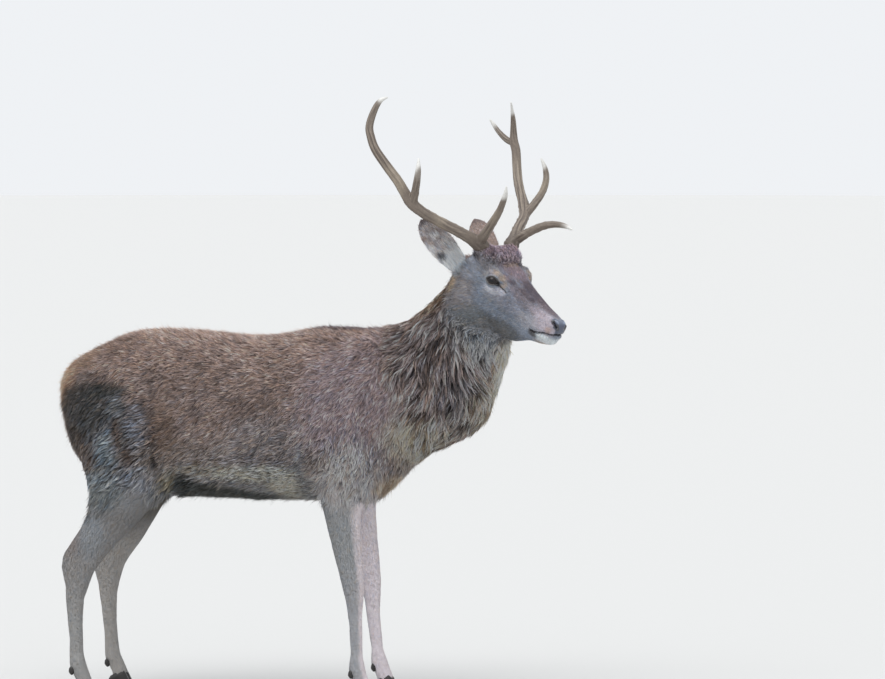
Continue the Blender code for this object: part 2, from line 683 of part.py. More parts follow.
def name_pieces(body, places):
    """Splits an object into its separate bodies and gives each the name of the nearest place."""
    whole = bmesh.new()
    whole.from_mesh(body.data)
    bmesh.ops.triangulate(whole, faces=whole.faces)
    left = set(whole.verts)
    found = {}
    while left:
        seed = left.pop()
        piece, edge = {seed}, [seed]
        while edge:
            for link in edge.pop().link_edges:
                for vertex in link.verts:
                    if vertex in left:
                        left.discard(vertex)
                        piece.add(vertex)
                        edge.append(vertex)
        low = Vector([min(v.co[i] for v in piece) for i in range(3)])
        high = Vector([max(v.co[i] for v in piece) for i in range(3)])
        if len(piece) < SCRAP:
            continue
        name = min(places, key=lambda n: (places[n] - (low + high) / 2).length)
        if name in found:
            raise ValueError(f"two pieces are nearest to {name}: {len(piece)} points at {(low + high) / 2}")
        found[name] = piece
    missing = set(places) - set(found)
    if missing:
        raise ValueError(f"no piece for {sorted(missing)}")
    made = {}
    for name, piece in found.items():
        numbers = {v: i for i, v in enumerate(piece)}
        faces = [[numbers[v] for v in f.verts] for f in whole.faces if f.verts[0] in piece]
        mesh = bpy.data.meshes.new(name)
        mesh.from_pydata([v.co[:] for v in piece], [], faces)
        made[name] = add_object(name, mesh)
    whole.free()
    bpy.data.objects.remove(body, do_unlink=True)
    return made


def material(name):
    colour, roughness = COLOURS[name]
    made = bpy.data.materials.new(name)
    made.use_nodes = True
    shader = made.node_tree.nodes["Principled BSDF"]
    shader.inputs["Base Color"].default_value = (*colour, 1.0)
    shader.inputs["Roughness"].default_value = roughness
    made.diffuse_color = (*colour, 1.0)
    return made


def slot_of(name):
    for start, slot in (
        ("antler", "antler"), ("hoof", "hoof"), ("dewclaw", "hoof"), ("eye", "eye"), ("ear", "face"),
        ("head", "face"), ("neck", "mane"), ("tail", "rump"), ("chest", "coat"), ("belly", "coat"),
        ("rump", "coat"),
    ):
        if name.startswith(start):
            return slot
    return "leg"


def finish(thing, slot):
    """Own material, rounded shading with sharp cut edges."""
    thing.data.materials.clear()
    thing.data.materials.append(material(slot))
    thing.data.shade_smooth()
    thing.data.set_sharp_from_angle(angle=math.radians(50))


def centre_on_floor(things):
    """Moves all so that the middle of the whole, on the floor, is the origin."""
    corners = [v.co for thing in things for v in thing.data.vertices]
    low = Vector([min(c[i] for c in corners) for i in range(3)])
    high = Vector([max(c[i] for c in corners) for i in range(3)])
    shift = Vector((-(low.x + high.x) / 2, -(low.y + high.y) / 2, -low.z))
    for thing in things:
        thing.data.transform(Matrix.Translation(shift))


def main():
    clear_scene()
    flesh = [trunk(), neck(), skull()]
    for side in (-1, 1):
        flesh.append(leg(FORE_LEG, FORE_STEP, side))
        flesh.append(leg(HIND_LEG, HIND_STEP, side))
    flesh += both_sides(MUSCLES)
    flesh += both_sides(HEAD_BUMPS, HEAD_FRAME)
    body = join(flesh, "body")
    fuse(body, FUSE_CELL, 6, 36)
    thin_out(body, BODY_TRIANGLES)
    nodes = antlers()
    nodes["ear_right"] = ear("ear_right", RIGHT_EAR)
    nodes["ear_left"] = ear("ear_left", LEFT_EAR)
    nodes["eye_right"] = eye("eye_right", -1)
    nodes["eye_left"] = eye("eye_left", 1)
    nodes["tail"] = tail()
    claws, wedges = feet()
    nodes.update(claws)
    for wedge in wedges:
        cut_with(body, wedge)
    for name in sorted(nodes):
        if name.startswith(("ear", "eye", "tail", "dewclaw")) or name.endswith(("beam_low", "brow_tine")):
            cut_with(body, inflated(nodes[name], 2 * GAP if name.startswith("ear") else GAP))
    nodes.update(part_body(body))
    for name, thing in sorted(nodes.items()):
        thing.name = name
        finish(thing, slot_of(name))
    centre_on_floor(list(nodes.values()))


main()
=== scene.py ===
"""The looks of a life-size red deer stag: one skin, its coat in tufts and locks, eyes, antlers and hooves."""

import math

import bmesh
import bpy
import numpy as np
from bpy.props import FloatProperty, FloatVectorProperty, IntProperty, PointerProperty
from mathutils import Matrix, Vector
from mathutils.kdtree import KDTree


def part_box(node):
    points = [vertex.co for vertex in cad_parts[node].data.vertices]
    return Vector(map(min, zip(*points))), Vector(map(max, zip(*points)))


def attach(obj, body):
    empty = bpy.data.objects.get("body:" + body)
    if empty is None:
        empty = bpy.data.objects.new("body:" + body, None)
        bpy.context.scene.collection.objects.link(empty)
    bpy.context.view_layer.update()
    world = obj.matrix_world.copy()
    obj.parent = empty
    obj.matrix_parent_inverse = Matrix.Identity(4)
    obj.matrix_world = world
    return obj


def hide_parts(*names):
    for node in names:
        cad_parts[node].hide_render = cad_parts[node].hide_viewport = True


bl_info = {
    "name": "Red Deer Stag",
    "version": (1, 0, 0),
    "blender": (4, 5, 0),
    "location": "3D View > Sidebar > Stag",
    "description": "Builds the skin, coat, antlers, eyes and hooves of a life-size red deer stag",
    "category": "Object",
}

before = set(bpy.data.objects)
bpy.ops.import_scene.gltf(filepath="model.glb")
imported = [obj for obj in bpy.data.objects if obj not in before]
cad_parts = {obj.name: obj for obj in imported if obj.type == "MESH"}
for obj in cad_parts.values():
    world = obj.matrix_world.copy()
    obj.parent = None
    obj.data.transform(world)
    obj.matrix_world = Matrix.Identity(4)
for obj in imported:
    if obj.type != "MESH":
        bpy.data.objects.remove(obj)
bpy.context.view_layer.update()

# The body's own frame: X towards the head along the middle plane, Y to the left, Z up from the floor.
BODY_AT = np.array((-0.2211, -0.0566, 0.0))
HEAD_AT = Vector((0.8214, -0.0963, 1.2642)) + Vector(BODY_AT)
HEAD_TURN = (-35.0, 27.0, -2.0)  # yaw, pitch and roll in degrees

LEGS = ("fore_cannon", "fore_pastern", "forearm", "hind_cannon", "hind_pastern", "thigh")
SIDES = ("right", "left")
FLESH = ["head", "neck", "chest", "belly", "rump", "tail"]
FLESH += [f"ear_{side}" for side in SIDES] + [f"{leg}_{side}" for leg in LEGS for side in SIDES]
CLAWS = [f"{leg}_{side}_{part}" for leg in ("fore", "hind") for side in SIDES for part in ("outer", "inner")]

EYE = np.array((-0.001, 0.072, 0.0))  # in the head's frame, on the left
EYE_RADIUS = 0.0205
EYE_OUT = np.array((0.4, 0.88, 0.25))  # the way the left eye looks
EYE_LINE = np.array((0.9, -0.43, 0.08))  # from the back corner of the lids to the front one

# Ears in the head's frame: root, tip, and the way the hollow faces.
EARS = {
    "right": ((-0.122, -0.07, -0.03), (-0.24, -0.2, 0.076), (0.5, -0.78, 0.36)),
    "left": ((-0.12, 0.068, -0.026), (-0.3, 0.112, 0.05), (-0.55, 0.78, -0.22)),
}
EAR_REACH = 0.068  # how far an ear goes from the line between its root and its tip
EAR_HALF = 0.046  # half the width of its hollow
FAR = 9.0  # out of reach, counted in widths of a slit or a fold
GROIN = (-0.185, 0.1, 0.65)  # in the body's frame, on the left
HOOF_TOP = 0.045  # where the hair of the legs ends above the floor
SWELL = 0.0015  # how far the solids grow to meet their neighbours before they are joined
ANTLER_CELL = 0.0021  # size of the antlers' faces

# The camera's aim in the body's frame, its side and height angles in degrees, its distance and its lens.
VIEW_AT = (0.6075, 0.0, 1.084)
VIEW_FROM = (8.0, 3.0)
VIEW_DISTANCE = 16.0
VIEW_LENS = 216.9

# How the hair lies, as places and ways. On the body: x, distance from the middle plane, z.
LIE_BODY = (
    ((0.35, 0.0, 1.12), (-1.0, 0.0, 0.0)), ((0.0, 0.0, 1.1), (-1.0, 0.0, -0.05)),
    ((-0.3, 0.0, 1.1), (-1.0, 0.0, -0.15)), ((-0.48, 0.0, 1.04), (-0.8, 0.0, -0.6)),
    ((-0.55, 0.05, 0.92), (-0.25, 0.0, -1.0)), ((-0.54, 0.08, 0.8), (-0.1, 0.0, -1.0)),
    ((0.35, 0.15, 1.02), (-0.85, 0.0, -0.45)), ((0.15, 0.18, 1.0), (-0.9, 0.0, -0.38)),
    ((-0.05, 0.19, 1.0), (-0.92, 0.0, -0.32)), ((-0.25, 0.17, 1.0), (-0.9, 0.0, -0.42)),
    ((-0.42, 0.15, 0.95), (-0.72, 0.0, -0.7)), ((0.3, 0.17, 0.86), (-0.62, 0.0, -0.8)),
    ((0.08, 0.2, 0.84), (-0.74, 0.0, -0.6)), ((-0.14, 0.2, 0.84), (-0.76, 0.0, -0.58)),
    ((-0.29, 0.16, 0.84), (-1.0, 0.0, -0.18)), ((-0.46, 0.13, 0.8), (-0.6, 0.0, -0.8)),
    ((-0.2, 0.17, 0.8), (-0.95, 0.0, -0.3)), ((-0.38, 0.16, 0.8), (-0.78, 0.0, -0.62)),
    ((0.3, 0.15, 0.72), (-0.3, 0.0, -0.95)), ((0.17, 0.14, 0.65), (-0.66, 0.0, 0.6)),
    ((0.13, 0.17, 0.7), (-0.9, 0.0, 0.1)), ((0.12, 0.18, 0.74), (-0.85, 0.0, -0.35)),
    ((-0.05, 0.18, 0.67), (-0.92, 0.0, -0.22)), ((-0.18, 0.16, 0.68), (-0.85, 0.0, -0.4)),
    ((0.1, 0.0, 0.595), (-1.0, 0.0, 0.0)), ((-0.12, 0.0, 0.6), (-1.0, 0.0, 0.0)),
    ((-0.4, 0.14, 0.7), (-0.7, 0.0, -0.7)), ((-0.27, 0.14, 0.68), (-0.65, 0.0, -0.75)),
    ((-0.39, 0.11, 0.56), (-0.62, 0.0, -0.78)), ((-0.48, 0.115, 0.42), (-0.2, 0.0, -1.0)),
    ((-0.49, 0.115, 0.25), (0.0, 0.0, -1.0)), ((-0.48, 0.115, 0.09), (0.25, 0.0, -1.0)),
    ((0.32, 0.1, 0.58), (0.0, 0.0, -1.0)), ((0.345, 0.1, 0.42), (0.05, 0.0, -1.0)),
    ((0.36, 0.1, 0.22), (0.0, 0.0, -1.0)), ((0.375, 0.1, 0.09), (0.2, 0.0, -1.0)),
    ((0.5, 0.08, 0.72), (-0.4, 0.0, -0.9)), ((0.44, 0.0, 0.63), (-0.8, 0.0, -0.5)),
    ((0.44, 0.0, 1.13), (-1.0, 0.0, -0.25)), ((0.58, 0.0, 1.21), (-0.62, 0.0, -0.78)),
    ((0.5, 0.13, 1.05), (-0.55, 0.0, -0.83)), ((0.48, 0.13, 0.9), (-0.42, 0.0, -0.9)),
    ((0.6, 0.12, 1.12), (-0.22, 0.0, -0.98)), ((0.66, 0.1, 1.22), (-0.2, 0.0, -0.98)),
    ((0.62, 0.13, 0.96), (-0.1, 0.0, -1.0)), ((0.66, 0.1, 0.84), (-0.25, 0.0, -0.95)),
    ((0.72, 0.1, 1.1), (0.18, 0.0, -0.98)), ((0.72, 0.09, 0.98), (0.22, 0.0, -0.98)),
    ((0.82, 0.0, 1.06), (-0.05, 0.0, -1.0)), ((0.79, 0.0, 0.94), (-0.3, 0.0, -0.95)),
    ((0.73, 0.0, 0.85), (-0.7, 0.0, -0.7)), ((0.62, 0.0, 0.76), (-0.85, 0.0, -0.5)),
)
# The same on the head, in its frame.
LIE_HEAD = (
    ((0.24, 0.0, -0.01), (-1.0, 0.0, 0.15)), ((0.17, 0.0, 0.01), (-1.0, 0.0, 0.1)),
    ((0.1, 0.0, 0.025), (-1.0, 0.1, 0.1)), ((0.03, 0.0, 0.045), (-1.0, 0.1, 0.1)),
    ((-0.06, 0.0, 0.07), (-1.0, 0.2, 0.0)), ((-0.13, 0.0, 0.04), (-1.0, 0.0, -0.4)),
    ((0.2, 0.04, -0.05), (-1.0, 0.1, -0.1)), ((0.11, 0.05, -0.05), (-1.0, 0.1, -0.22)),
    ((0.02, 0.075, -0.06), (-0.9, 0.0, -0.45)), ((-0.05, 0.07, -0.12), (-0.8, 0.0, -0.6)),
    ((-0.05, 0.08, -0.03), (-1.0, 0.1, -0.15)), ((0.01, 0.085, 0.032), (-0.9, 0.1, 0.25)),
    ((-0.07, 0.08, 0.03), (-0.8, 0.1, 0.5)), ((0.08, 0.03, -0.135), (-1.0, 0.0, -0.15)),
    ((0.22, 0.02, -0.085), (-1.0, 0.1, -0.05)), ((-0.12, 0.06, -0.08), (-0.7, 0.0, -0.75)),
    ((-0.1, 0.07, 0.0), (-0.9, 0.3, 0.1)), ((0.0, 0.0, -0.148), (-1.0, 0.0, -0.2)),
)

# Body colour by height, from the floor to the back.
SHADES = (
    (0.0, (0.35, 0.342, 0.335)), (0.2, (0.36, 0.355, 0.35)), (0.42, (0.3, 0.288, 0.284)),
    (0.54, (0.232, 0.225, 0.223)), (0.63, (0.262, 0.262, 0.268)), (0.71, (0.3, 0.262, 0.245)),
    (0.82, (0.275, 0.218, 0.202)), (0.98, (0.29, 0.222, 0.2)), (1.06, (0.378, 0.282, 0.25)),
    (1.13, (0.395, 0.297, 0.262)),
)
# Soft spots on the body: centre (distance from the middle plane), radii, colour, strength.
BODY_MARKS = (
    # Shoulder, elbow and forelegs.
    ((0.36, 0.15, 0.88), (0.2, 0.2, 0.26), (0.43, 0.35, 0.38), 0.75),
    ((0.34, 0.14, 0.68), (0.13, 0.14, 0.13), (0.6, 0.56, 0.56), 0.8),
    ((0.245, 0.15, 0.72), (0.05, 0.08, 0.06), (0.34, 0.285, 0.26), 0.6),
    ((0.33, 0.1, 0.48), (0.12, 0.1, 0.16), (0.35, 0.36, 0.372), 0.85),
    ((0.35, 0.1, 0.2), (0.12, 0.1, 0.24), (0.4, 0.405, 0.43), 0.85),
    # Flank, belly and the fold behind the elbow, which gets a painted shade.
    ((0.1, 0.19, 0.78), (0.16, 0.12, 0.1), (0.335, 0.305, 0.312), 0.6),
    ((-0.09, 0.16, 0.694), (0.15, 0.08, 0.026), (0.44, 0.405, 0.35), 0.65),
    ((0.08, 0.16, 0.69), (0.14, 0.08, 0.032), (0.62, 0.605, 0.535), 0.78),
    ((0.158, 0.11, 0.66), (0.06, 0.08, 0.044), (0.64, 0.6, 0.51), 0.82),
    ((0.175, 0.06, 0.622), (0.05, 0.08, 0.022), (0.36, 0.34, 0.29), 0.6),
    # The blue-grey of shade, painted in the fold behind the elbow.
    ((0.204, 0.14, 0.705), (0.022, 0.08, 0.085), (0.38, 0.39, 0.42), 0.6),
    # Rump, thigh and hind leg, with painted shade along the creases of the thigh.
    ((-0.4, 0.05, 1.065), (0.15, 0.14, 0.05), (0.24, 0.175, 0.15), 0.8),
    ((-0.56, 0.04, 0.955), (0.09, 0.16, 0.105), (0.6, 0.385, 0.275), 0.95),
    ((-0.49, 0.04, 1.03), (0.09, 0.12, 0.055), (0.38, 0.265, 0.195), 0.6),
    ((-0.4, 0.16, 0.79), (0.15, 0.16, 0.15), (0.162, 0.17, 0.182), 0.8),
    ((-0.462, 0.13, 0.885), (0.115, 0.13, 0.1), (0.09, 0.087, 0.084), 0.88),
    ((-0.38, 0.15, 0.938), (0.075, 0.1, 0.026), (0.075, 0.08, 0.078), 0.8),
    ((-0.495, 0.12, 0.79), (0.06, 0.1, 0.08), (0.125, 0.098, 0.082), 0.75),
    ((-0.455, 0.12, 0.735), (0.05, 0.1, 0.07), (0.165, 0.122, 0.1), 0.7),
    ((-0.345, 0.16, 0.885), (0.036, 0.1, 0.055), (0.215, 0.232, 0.25), 0.75),
    ((-0.37, 0.15, 0.765), (0.04, 0.1, 0.065), (0.275, 0.315, 0.34), 0.8),
    # Painted shade along the crease between the thigh's muscles.
    ((-0.345, 0.16, 0.805), (0.022, 0.1, 0.075), (0.175, 0.125, 0.102), 0.8),
    ((-0.31, 0.16, 0.74), (0.026, 0.1, 0.045), (0.19, 0.138, 0.115), 0.75),
    ((-0.285, 0.16, 0.83), (0.036, 0.1, 0.085), (0.272, 0.27, 0.295), 0.68),
    ((-0.205, 0.17, 0.815), (0.05, 0.1, 0.11), (0.235, 0.168, 0.13), 0.5),
    # Painted shade in the crease where the thigh meets the flank.
    ((-0.238, 0.15, 0.722), (0.013, 0.1, 0.02), (0.05, 0.045, 0.045), 0.9),
    ((-0.29, 0.14, 0.67), (0.06, 0.1, 0.06), (0.355, 0.372, 0.42), 0.72),
    ((-0.4, 0.14, 0.64), (0.08, 0.12, 0.08), (0.262, 0.29, 0.305), 0.75),
    ((-0.195, 0.13, 0.66), (0.032, 0.1, 0.042), (0.255, 0.225, 0.165), 0.85),
    ((-0.5, 0.115, 0.52), (0.05, 0.1, 0.11), (0.235, 0.2, 0.19), 0.7),
    ((-0.44, 0.15, 0.5), (0.05, 0.1, 0.09), (0.29, 0.315, 0.345), 0.6),
    # Withers, neck, mane and chest, with a painted shadow under the brisket.
    ((0.33, 0.0, 1.126), (0.2, 0.06, 0.026), (0.08, 0.066, 0.078), 0.95),
    ((0.48, 0.1, 1.08), (0.12, 0.16, 0.12), (0.31, 0.245, 0.25), 0.7),
    ((0.62, 0.13, 1.0), (0.17, 0.2, 0.26), (0.39, 0.34, 0.36), 0.9),
    ((0.72, 0.12, 0.92), (0.09, 0.16, 0.12), (0.48, 0.46, 0.47), 0.75),
    ((0.6, 0.02, 1.25), (0.08, 0.07, 0.1), (0.37, 0.255, 0.18), 0.8),
    ((0.7, 0.12, 1.16), (0.08, 0.08, 0.1), (0.6, 0.6, 0.65), 0.85),
    ((0.56, 0.1, 0.8), (0.14, 0.16, 0.1), (0.68, 0.61, 0.51), 0.8),
    ((0.76, 0.0, 0.9), (0.06, 0.09, 0.12), (0.56, 0.49, 0.4), 0.7),
    ((0.66, 0.12, 0.965), (0.05, 0.1, 0.085), (0.1, 0.1, 0.125), 0.7),
    ((0.745, 0.09, 0.93), (0.055, 0.08, 0.075), (0.74, 0.62, 0.54), 0.8),
    ((0.745, 0.1, 1.1), (0.06, 0.08, 0.07), (0.78, 0.84, 0.94), 0.85),
    ((0.82, 0.03, 1.02), (0.07, 0.08, 0.17), (0.86, 0.74, 0.6), 0.95),
    ((0.575, 0.11, 1.09), (0.035, 0.1, 0.035), (0.13, 0.11, 0.115), 0.6),
    ((0.47, 0.06, 0.65), (0.085, 0.12, 0.045), (0.52, 0.4, 0.3), 0.8),
    # A painted shadow line under the brisket's hair.
    ((0.45, 0.06, 0.607), (0.085, 0.12, 0.018), (0.1, 0.075, 0.058), 0.85),
)
# The same on the head, in its frame.
HEAD_MARKS = (
    ((-0.03, 0.07, -0.13), (0.1, 0.07, 0.045), (0.205, 0.215, 0.22), 0.8),
    ((0.08, 0.04, -0.12), (0.08, 0.06, 0.038), (0.17, 0.175, 0.182), 0.82),
    ((-0.045, 0.07, 0.036), (0.05, 0.05, 0.04), (0.29, 0.25, 0.24), 0.6),
    ((0.05, 0.035, -0.138), (0.09, 0.06, 0.03), (0.225, 0.215, 0.21), 0.6),
    ((-0.1, 0.06, -0.09), (0.07, 0.06, 0.08), (0.4, 0.36, 0.365), 0.7),
    ((-0.11, 0.07, -0.06), (0.05, 0.05, 0.06), (0.43, 0.41, 0.425), 0.6),
    ((0.08, 0.055, -0.035), (0.06, 0.03, 0.035), (0.335, 0.335, 0.395), 0.6),
    ((0.01, 0.0, 0.045), (0.085, 0.062, 0.04), (0.325, 0.25, 0.282), 0.88),
    ((0.13, 0.036, -0.01), (0.06, 0.03, 0.026), (0.225, 0.2, 0.225), 0.7),
    ((0.17, 0.0, 0.002), (0.07, 0.03, 0.02), (0.225, 0.19, 0.215), 0.8),
    ((0.105, 0.0, 0.018), (0.09, 0.036, 0.024), (0.142, 0.112, 0.132), 0.88),
    ((0.03, 0.048, 0.022), (0.04, 0.012, 0.01), (0.3, 0.235, 0.27), 0.7),
    ((0.078, 0.04, 0.004), (0.058, 0.022, 0.021), (0.265, 0.228, 0.26), 0.74),
    ((0.01, 0.068, -0.03), (0.046, 0.03, 0.026), (0.46, 0.46, 0.52), 0.55),
    ((0.006, 0.07, -0.026), (0.027, 0.03, 0.013), (0.84, 0.85, 0.95), 0.92),
    ((0.034, 0.062, -0.017), (0.024, 0.03, 0.012), (0.78, 0.77, 0.88), 0.9),
    ((-0.03, 0.074, 0.004), (0.012, 0.03, 0.016), (0.43, 0.43, 0.46), 0.7),
    ((-0.014, 0.083, 0.023), (0.02, 0.03, 0.01), (0.49, 0.45, 0.48), 0.75),
    ((0.006, 0.074, 0.028), (0.018, 0.02, 0.009), (0.5, 0.4, 0.33), 0.75),
    ((0.025, 0.064, 0.019), (0.015, 0.02, 0.01), (0.5, 0.39, 0.31), 0.75),
    ((0.037, 0.058, 0.002), (0.01, 0.02, 0.014), (0.46, 0.36, 0.29), 0.7),
    ((-0.006, 0.02, 0.046), (0.01, 0.05, 0.009), (0.37, 0.285, 0.22), 0.6),
    ((-0.056, 0.058, 0.062), (0.022, 0.022, 0.02), (0.06, 0.052, 0.068), 0.7),
    ((-0.084, 0.074, 0.03), (0.02, 0.03, 0.011), (0.07, 0.05, 0.046), 0.85),
    ((0.046, 0.038, 0.018), (0.018, 0.012, 0.008), (0.13, 0.1, 0.115), 0.75),
    ((0.09, 0.028, 0.01), (0.03, 0.01, 0.008), (0.15, 0.12, 0.135), 0.7),
    ((0.125, 0.023, 0.004), (0.02, 0.01, 0.008), (0.11, 0.085, 0.1), 0.75),
    ((0.165, 0.028, -0.014), (0.045, 0.016, 0.014), (0.42, 0.37, 0.415), 0.65),
    ((-0.072, 0.025, 0.062), (0.056, 0.066, 0.036), (0.31, 0.232, 0.268), 0.9),
    ((-0.084, 0.08, -0.008), (0.044, 0.05, 0.042), (0.45, 0.475, 0.55), 0.7),
    ((-0.132, 0.077, -0.08), (0.022, 0.04, 0.034), (0.62, 0.46, 0.31), 0.8),
    ((0.21, 0.03, -0.028), (0.062, 0.03, 0.04), (0.54, 0.465, 0.51), 0.72),
    ((0.18, 0.0, 0.004), (0.07, 0.022, 0.015), (0.19, 0.152, 0.172), 0.8),
    ((-0.138, 0.088, -0.022), (0.03, 0.034, 0.036), (0.76, 0.81, 0.86), 0.85),
    ((0.228, 0.026, -0.04), (0.012, 0.02, 0.014), (0.43, 0.3, 0.25), 0.6),
    ((0.15, 0.04, -0.055), (0.05, 0.03, 0.028), (0.42, 0.4, 0.43), 0.55),
    ((0.228, 0.018, -0.076), (0.05, 0.06, 0.02), (0.8, 0.85, 0.88), 0.98),
    ((0.222, 0.0, -0.096), (0.05, 0.05, 0.012), (0.56, 0.45, 0.37), 0.7),
    ((0.18, 0.032, -0.078), (0.022, 0.02, 0.012), (0.06, 0.052, 0.046), 0.8),
    ((-0.16, 0.0, 0.01), (0.052, 0.056, 0.08), (0.3, 0.225, 0.2), 0.92),
)
FACE = (0.31, 0.345, 0.412)
# Paths on the head where the skin is pushed in or out: points (y outward), radius, amount, darkness. Above 0.7
# of darkness a path is painted near-black, partly as dark bare skin and partly as painted shade in the slit.
FOLDS = (
    (((0.026, 0.066, -0.004), (0.044, 0.057, -0.008), (0.066, 0.052, -0.016)), 0.016, 0.006, 0.0),
    (((-0.034, 0.074, 0.006), (-0.016, 0.084, 0.026), (0.004, 0.076, 0.031), (0.024, 0.065, 0.024)),
     0.009, 0.0032, 0.0),
    (((0.018, 0.077, 0.001), (0.025, 0.07, -0.001), (0.032, 0.062, -0.003)), 0.0044, -0.0046, 1.0),
    (((0.032, 0.062, -0.003), (0.04, 0.057, -0.007), (0.052, 0.053, -0.012)), 0.003, -0.0042, 0.9),
    (((-0.028, 0.074, -0.022), (0.0, 0.076, -0.024), (0.028, 0.066, -0.016)), 0.008, 0.002, 0.0),
    (((-0.1, 0.072, 0.04), (-0.086, 0.074, 0.03), (-0.07, 0.076, 0.021)), 0.006, -0.003, 0.6),
    (((0.03, 0.08, -0.045), (0.11, 0.052, -0.05)), 0.018, 0.003, 0.0),
    (((0.05, 0.066, -0.08), (0.13, 0.045, -0.078)), 0.02, -0.0026, 0.0),
    (((0.06, 0.04, 0.006), (0.19, 0.03, -0.012)), 0.012, -0.0024, 0.0),
    (((0.166, 0.034, -0.071), (0.187, 0.033, -0.069), (0.221, 0.031, -0.056),
      (0.24, 0.018, -0.048), (0.247, 0.006, -0.046), (0.248, 0.0, -0.046)), 0.0034, -0.0056, 0.9),
    (((0.165, 0.041, -0.061), (0.212, 0.035, -0.048), (0.234, 0.027, -0.04)), 0.0065, 0.0022, 0.0),
    (((0.17, 0.038, -0.08), (0.212, 0.032, -0.068), (0.24, 0.018, -0.058)), 0.0065, 0.002, 0.0),
    (((0.248, 0.0165, -0.026), (0.242, 0.0215, -0.02), (0.233, 0.024, -0.015),
      (0.226, 0.024, -0.013)), 0.0046, -0.009, 0.8),
    (((0.248, 0.012, -0.01), (0.237, 0.018, -0.006), (0.225, 0.023, -0.006)), 0.0055, 0.0024, 0.0),
)
# The same on the body: at the elbow, before the thigh and down it, along the belly, and round the shoulder.
BODY_FOLDS = (
    (((0.208, 0.17, 0.778), (0.194, 0.155, 0.717), (0.204, 0.129, 0.673), (0.225, 0.096, 0.636)),
     0.022, -0.011, 0.3),
    (((0.26, 0.17, 0.86), (0.262, 0.16, 0.78), (0.262, 0.15, 0.7)), 0.045, 0.008, 0.0),
    (((-0.242, 0.164, 0.925), (-0.237, 0.166, 0.875), (-0.235, 0.158, 0.803), (-0.24, 0.151, 0.721),
      (-0.23, 0.142, 0.685), (-0.25, 0.144, 0.64)), 0.018, -0.008, 0.4),
    (((-0.29, 0.165, 0.9), (-0.285, 0.165, 0.8), (-0.28, 0.155, 0.71)), 0.03, 0.006, 0.0),
    (((-0.392, 0.16, 0.915), (-0.366, 0.166, 0.827), (-0.319, 0.163, 0.741)), 0.022, -0.008, 0.35),
    (((-0.171, 0.123, 0.689), (-0.134, 0.107, 0.649), (0.033, 0.091, 0.629), (0.161, 0.054, 0.612)),
     0.022, -0.005, 0.0),
    (((0.33, 0.175, 1.06), (0.4, 0.16, 0.9), (0.42, 0.15, 0.76)), 0.04, -0.005, 0.0),
    (((0.15, 0.18, 1.05), (0.175, 0.19, 0.93), (0.19, 0.18, 0.82)), 0.04, -0.005, 0.0),
)

# Antlers in the head's frame: points along each beam and tine, and the radii along them.
ANTLERS = {
    "right": (
        (((-0.086, -0.056, 0.048), (-0.092, -0.062, 0.06), (-0.098, -0.07, 0.07), (-0.129, -0.117, 0.086),
          (-0.167, -0.165, 0.097), (-0.198, -0.202, 0.105), (-0.221, -0.233, 0.114), (-0.252, -0.254, 0.126),
          (-0.282, -0.27, 0.148), (-0.312, -0.282, 0.17), (-0.355, -0.298, 0.193), (-0.403, -0.318, 0.223),
          (-0.433, -0.324, 0.25), (-0.455, -0.323, 0.276), (-0.469, -0.312, 0.318), (-0.474, -0.297, 0.35),
          (-0.469, -0.276, 0.366)),
         (0.018, 0.0185, 0.0215, 0.0172, 0.0158, 0.0155, 0.016, 0.0172, 0.0155, 0.0148, 0.0142, 0.0134,
          0.0126, 0.0118, 0.0102, 0.0076, 0.0028)),
        (((-0.104, -0.078, 0.074), (-0.094, -0.081, 0.092), (-0.08, -0.086, 0.131), (-0.064, -0.098, 0.168),
          (-0.044, -0.115, 0.215), (-0.034, -0.13, 0.267), (-0.037, -0.138, 0.299)),
         (0.015, 0.015, 0.0132, 0.0122, 0.0104, 0.008, 0.0026)),
        (((-0.25, -0.25, 0.122), (-0.249, -0.256, 0.14), (-0.248, -0.264, 0.166), (-0.245, -0.279, 0.205),
          (-0.255, -0.281, 0.238), (-0.274, -0.275, 0.264)),
         (0.0135, 0.013, 0.0118, 0.0105, 0.0082, 0.0026)),
    ),
    "left": (
        (((-0.086, 0.056, 0.048), (-0.092, 0.062, 0.06), (-0.098, 0.07, 0.07), (-0.12, 0.098, 0.086),
          (-0.146, 0.132, 0.101), (-0.174, 0.172, 0.11), (-0.207, 0.212, 0.118), (-0.241, 0.238, 0.128),
          (-0.27, 0.255, 0.136), (-0.31, 0.276, 0.149), (-0.35, 0.297, 0.168), (-0.388, 0.314, 0.198),
          (-0.415, 0.321, 0.228), (-0.436, 0.322, 0.247), (-0.45, 0.321, 0.272), (-0.461, 0.308, 0.312),
          (-0.468, 0.276, 0.366)),
         (0.018, 0.0185, 0.0215, 0.0172, 0.016, 0.0155, 0.016, 0.0172, 0.015, 0.0145, 0.0143, 0.0141,
          0.014, 0.0136, 0.0108, 0.0078, 0.0026)),
        (((-0.432, 0.322, 0.244), (-0.464, 0.321, 0.24), (-0.501, 0.318, 0.247), (-0.525, 0.31, 0.26),
          (-0.54, 0.3, 0.271)),
         (0.0108, 0.0098, 0.008, 0.0062, 0.0026)),
        (((-0.203, 0.206, 0.112), (-0.21, 0.24, 0.146), (-0.221, 0.27, 0.185), (-0.234, 0.282, 0.221),
          (-0.253, 0.282, 0.249), (-0.279, 0.275, 0.273)),
         (0.0138, 0.0122, 0.011, 0.01, 0.008, 0.0026)),
        (((-0.104, 0.078, 0.074), (-0.086, 0.086, 0.107), (-0.075, 0.096, 0.126), (-0.052, 0.114, 0.158),
          (-0.022, 0.126, 0.181), (0.012, 0.134, 0.194), (0.041, 0.138, 0.196)),
         (0.015, 0.0142, 0.013, 0.0118, 0.0103, 0.0078, 0.0026)),
    ),
}


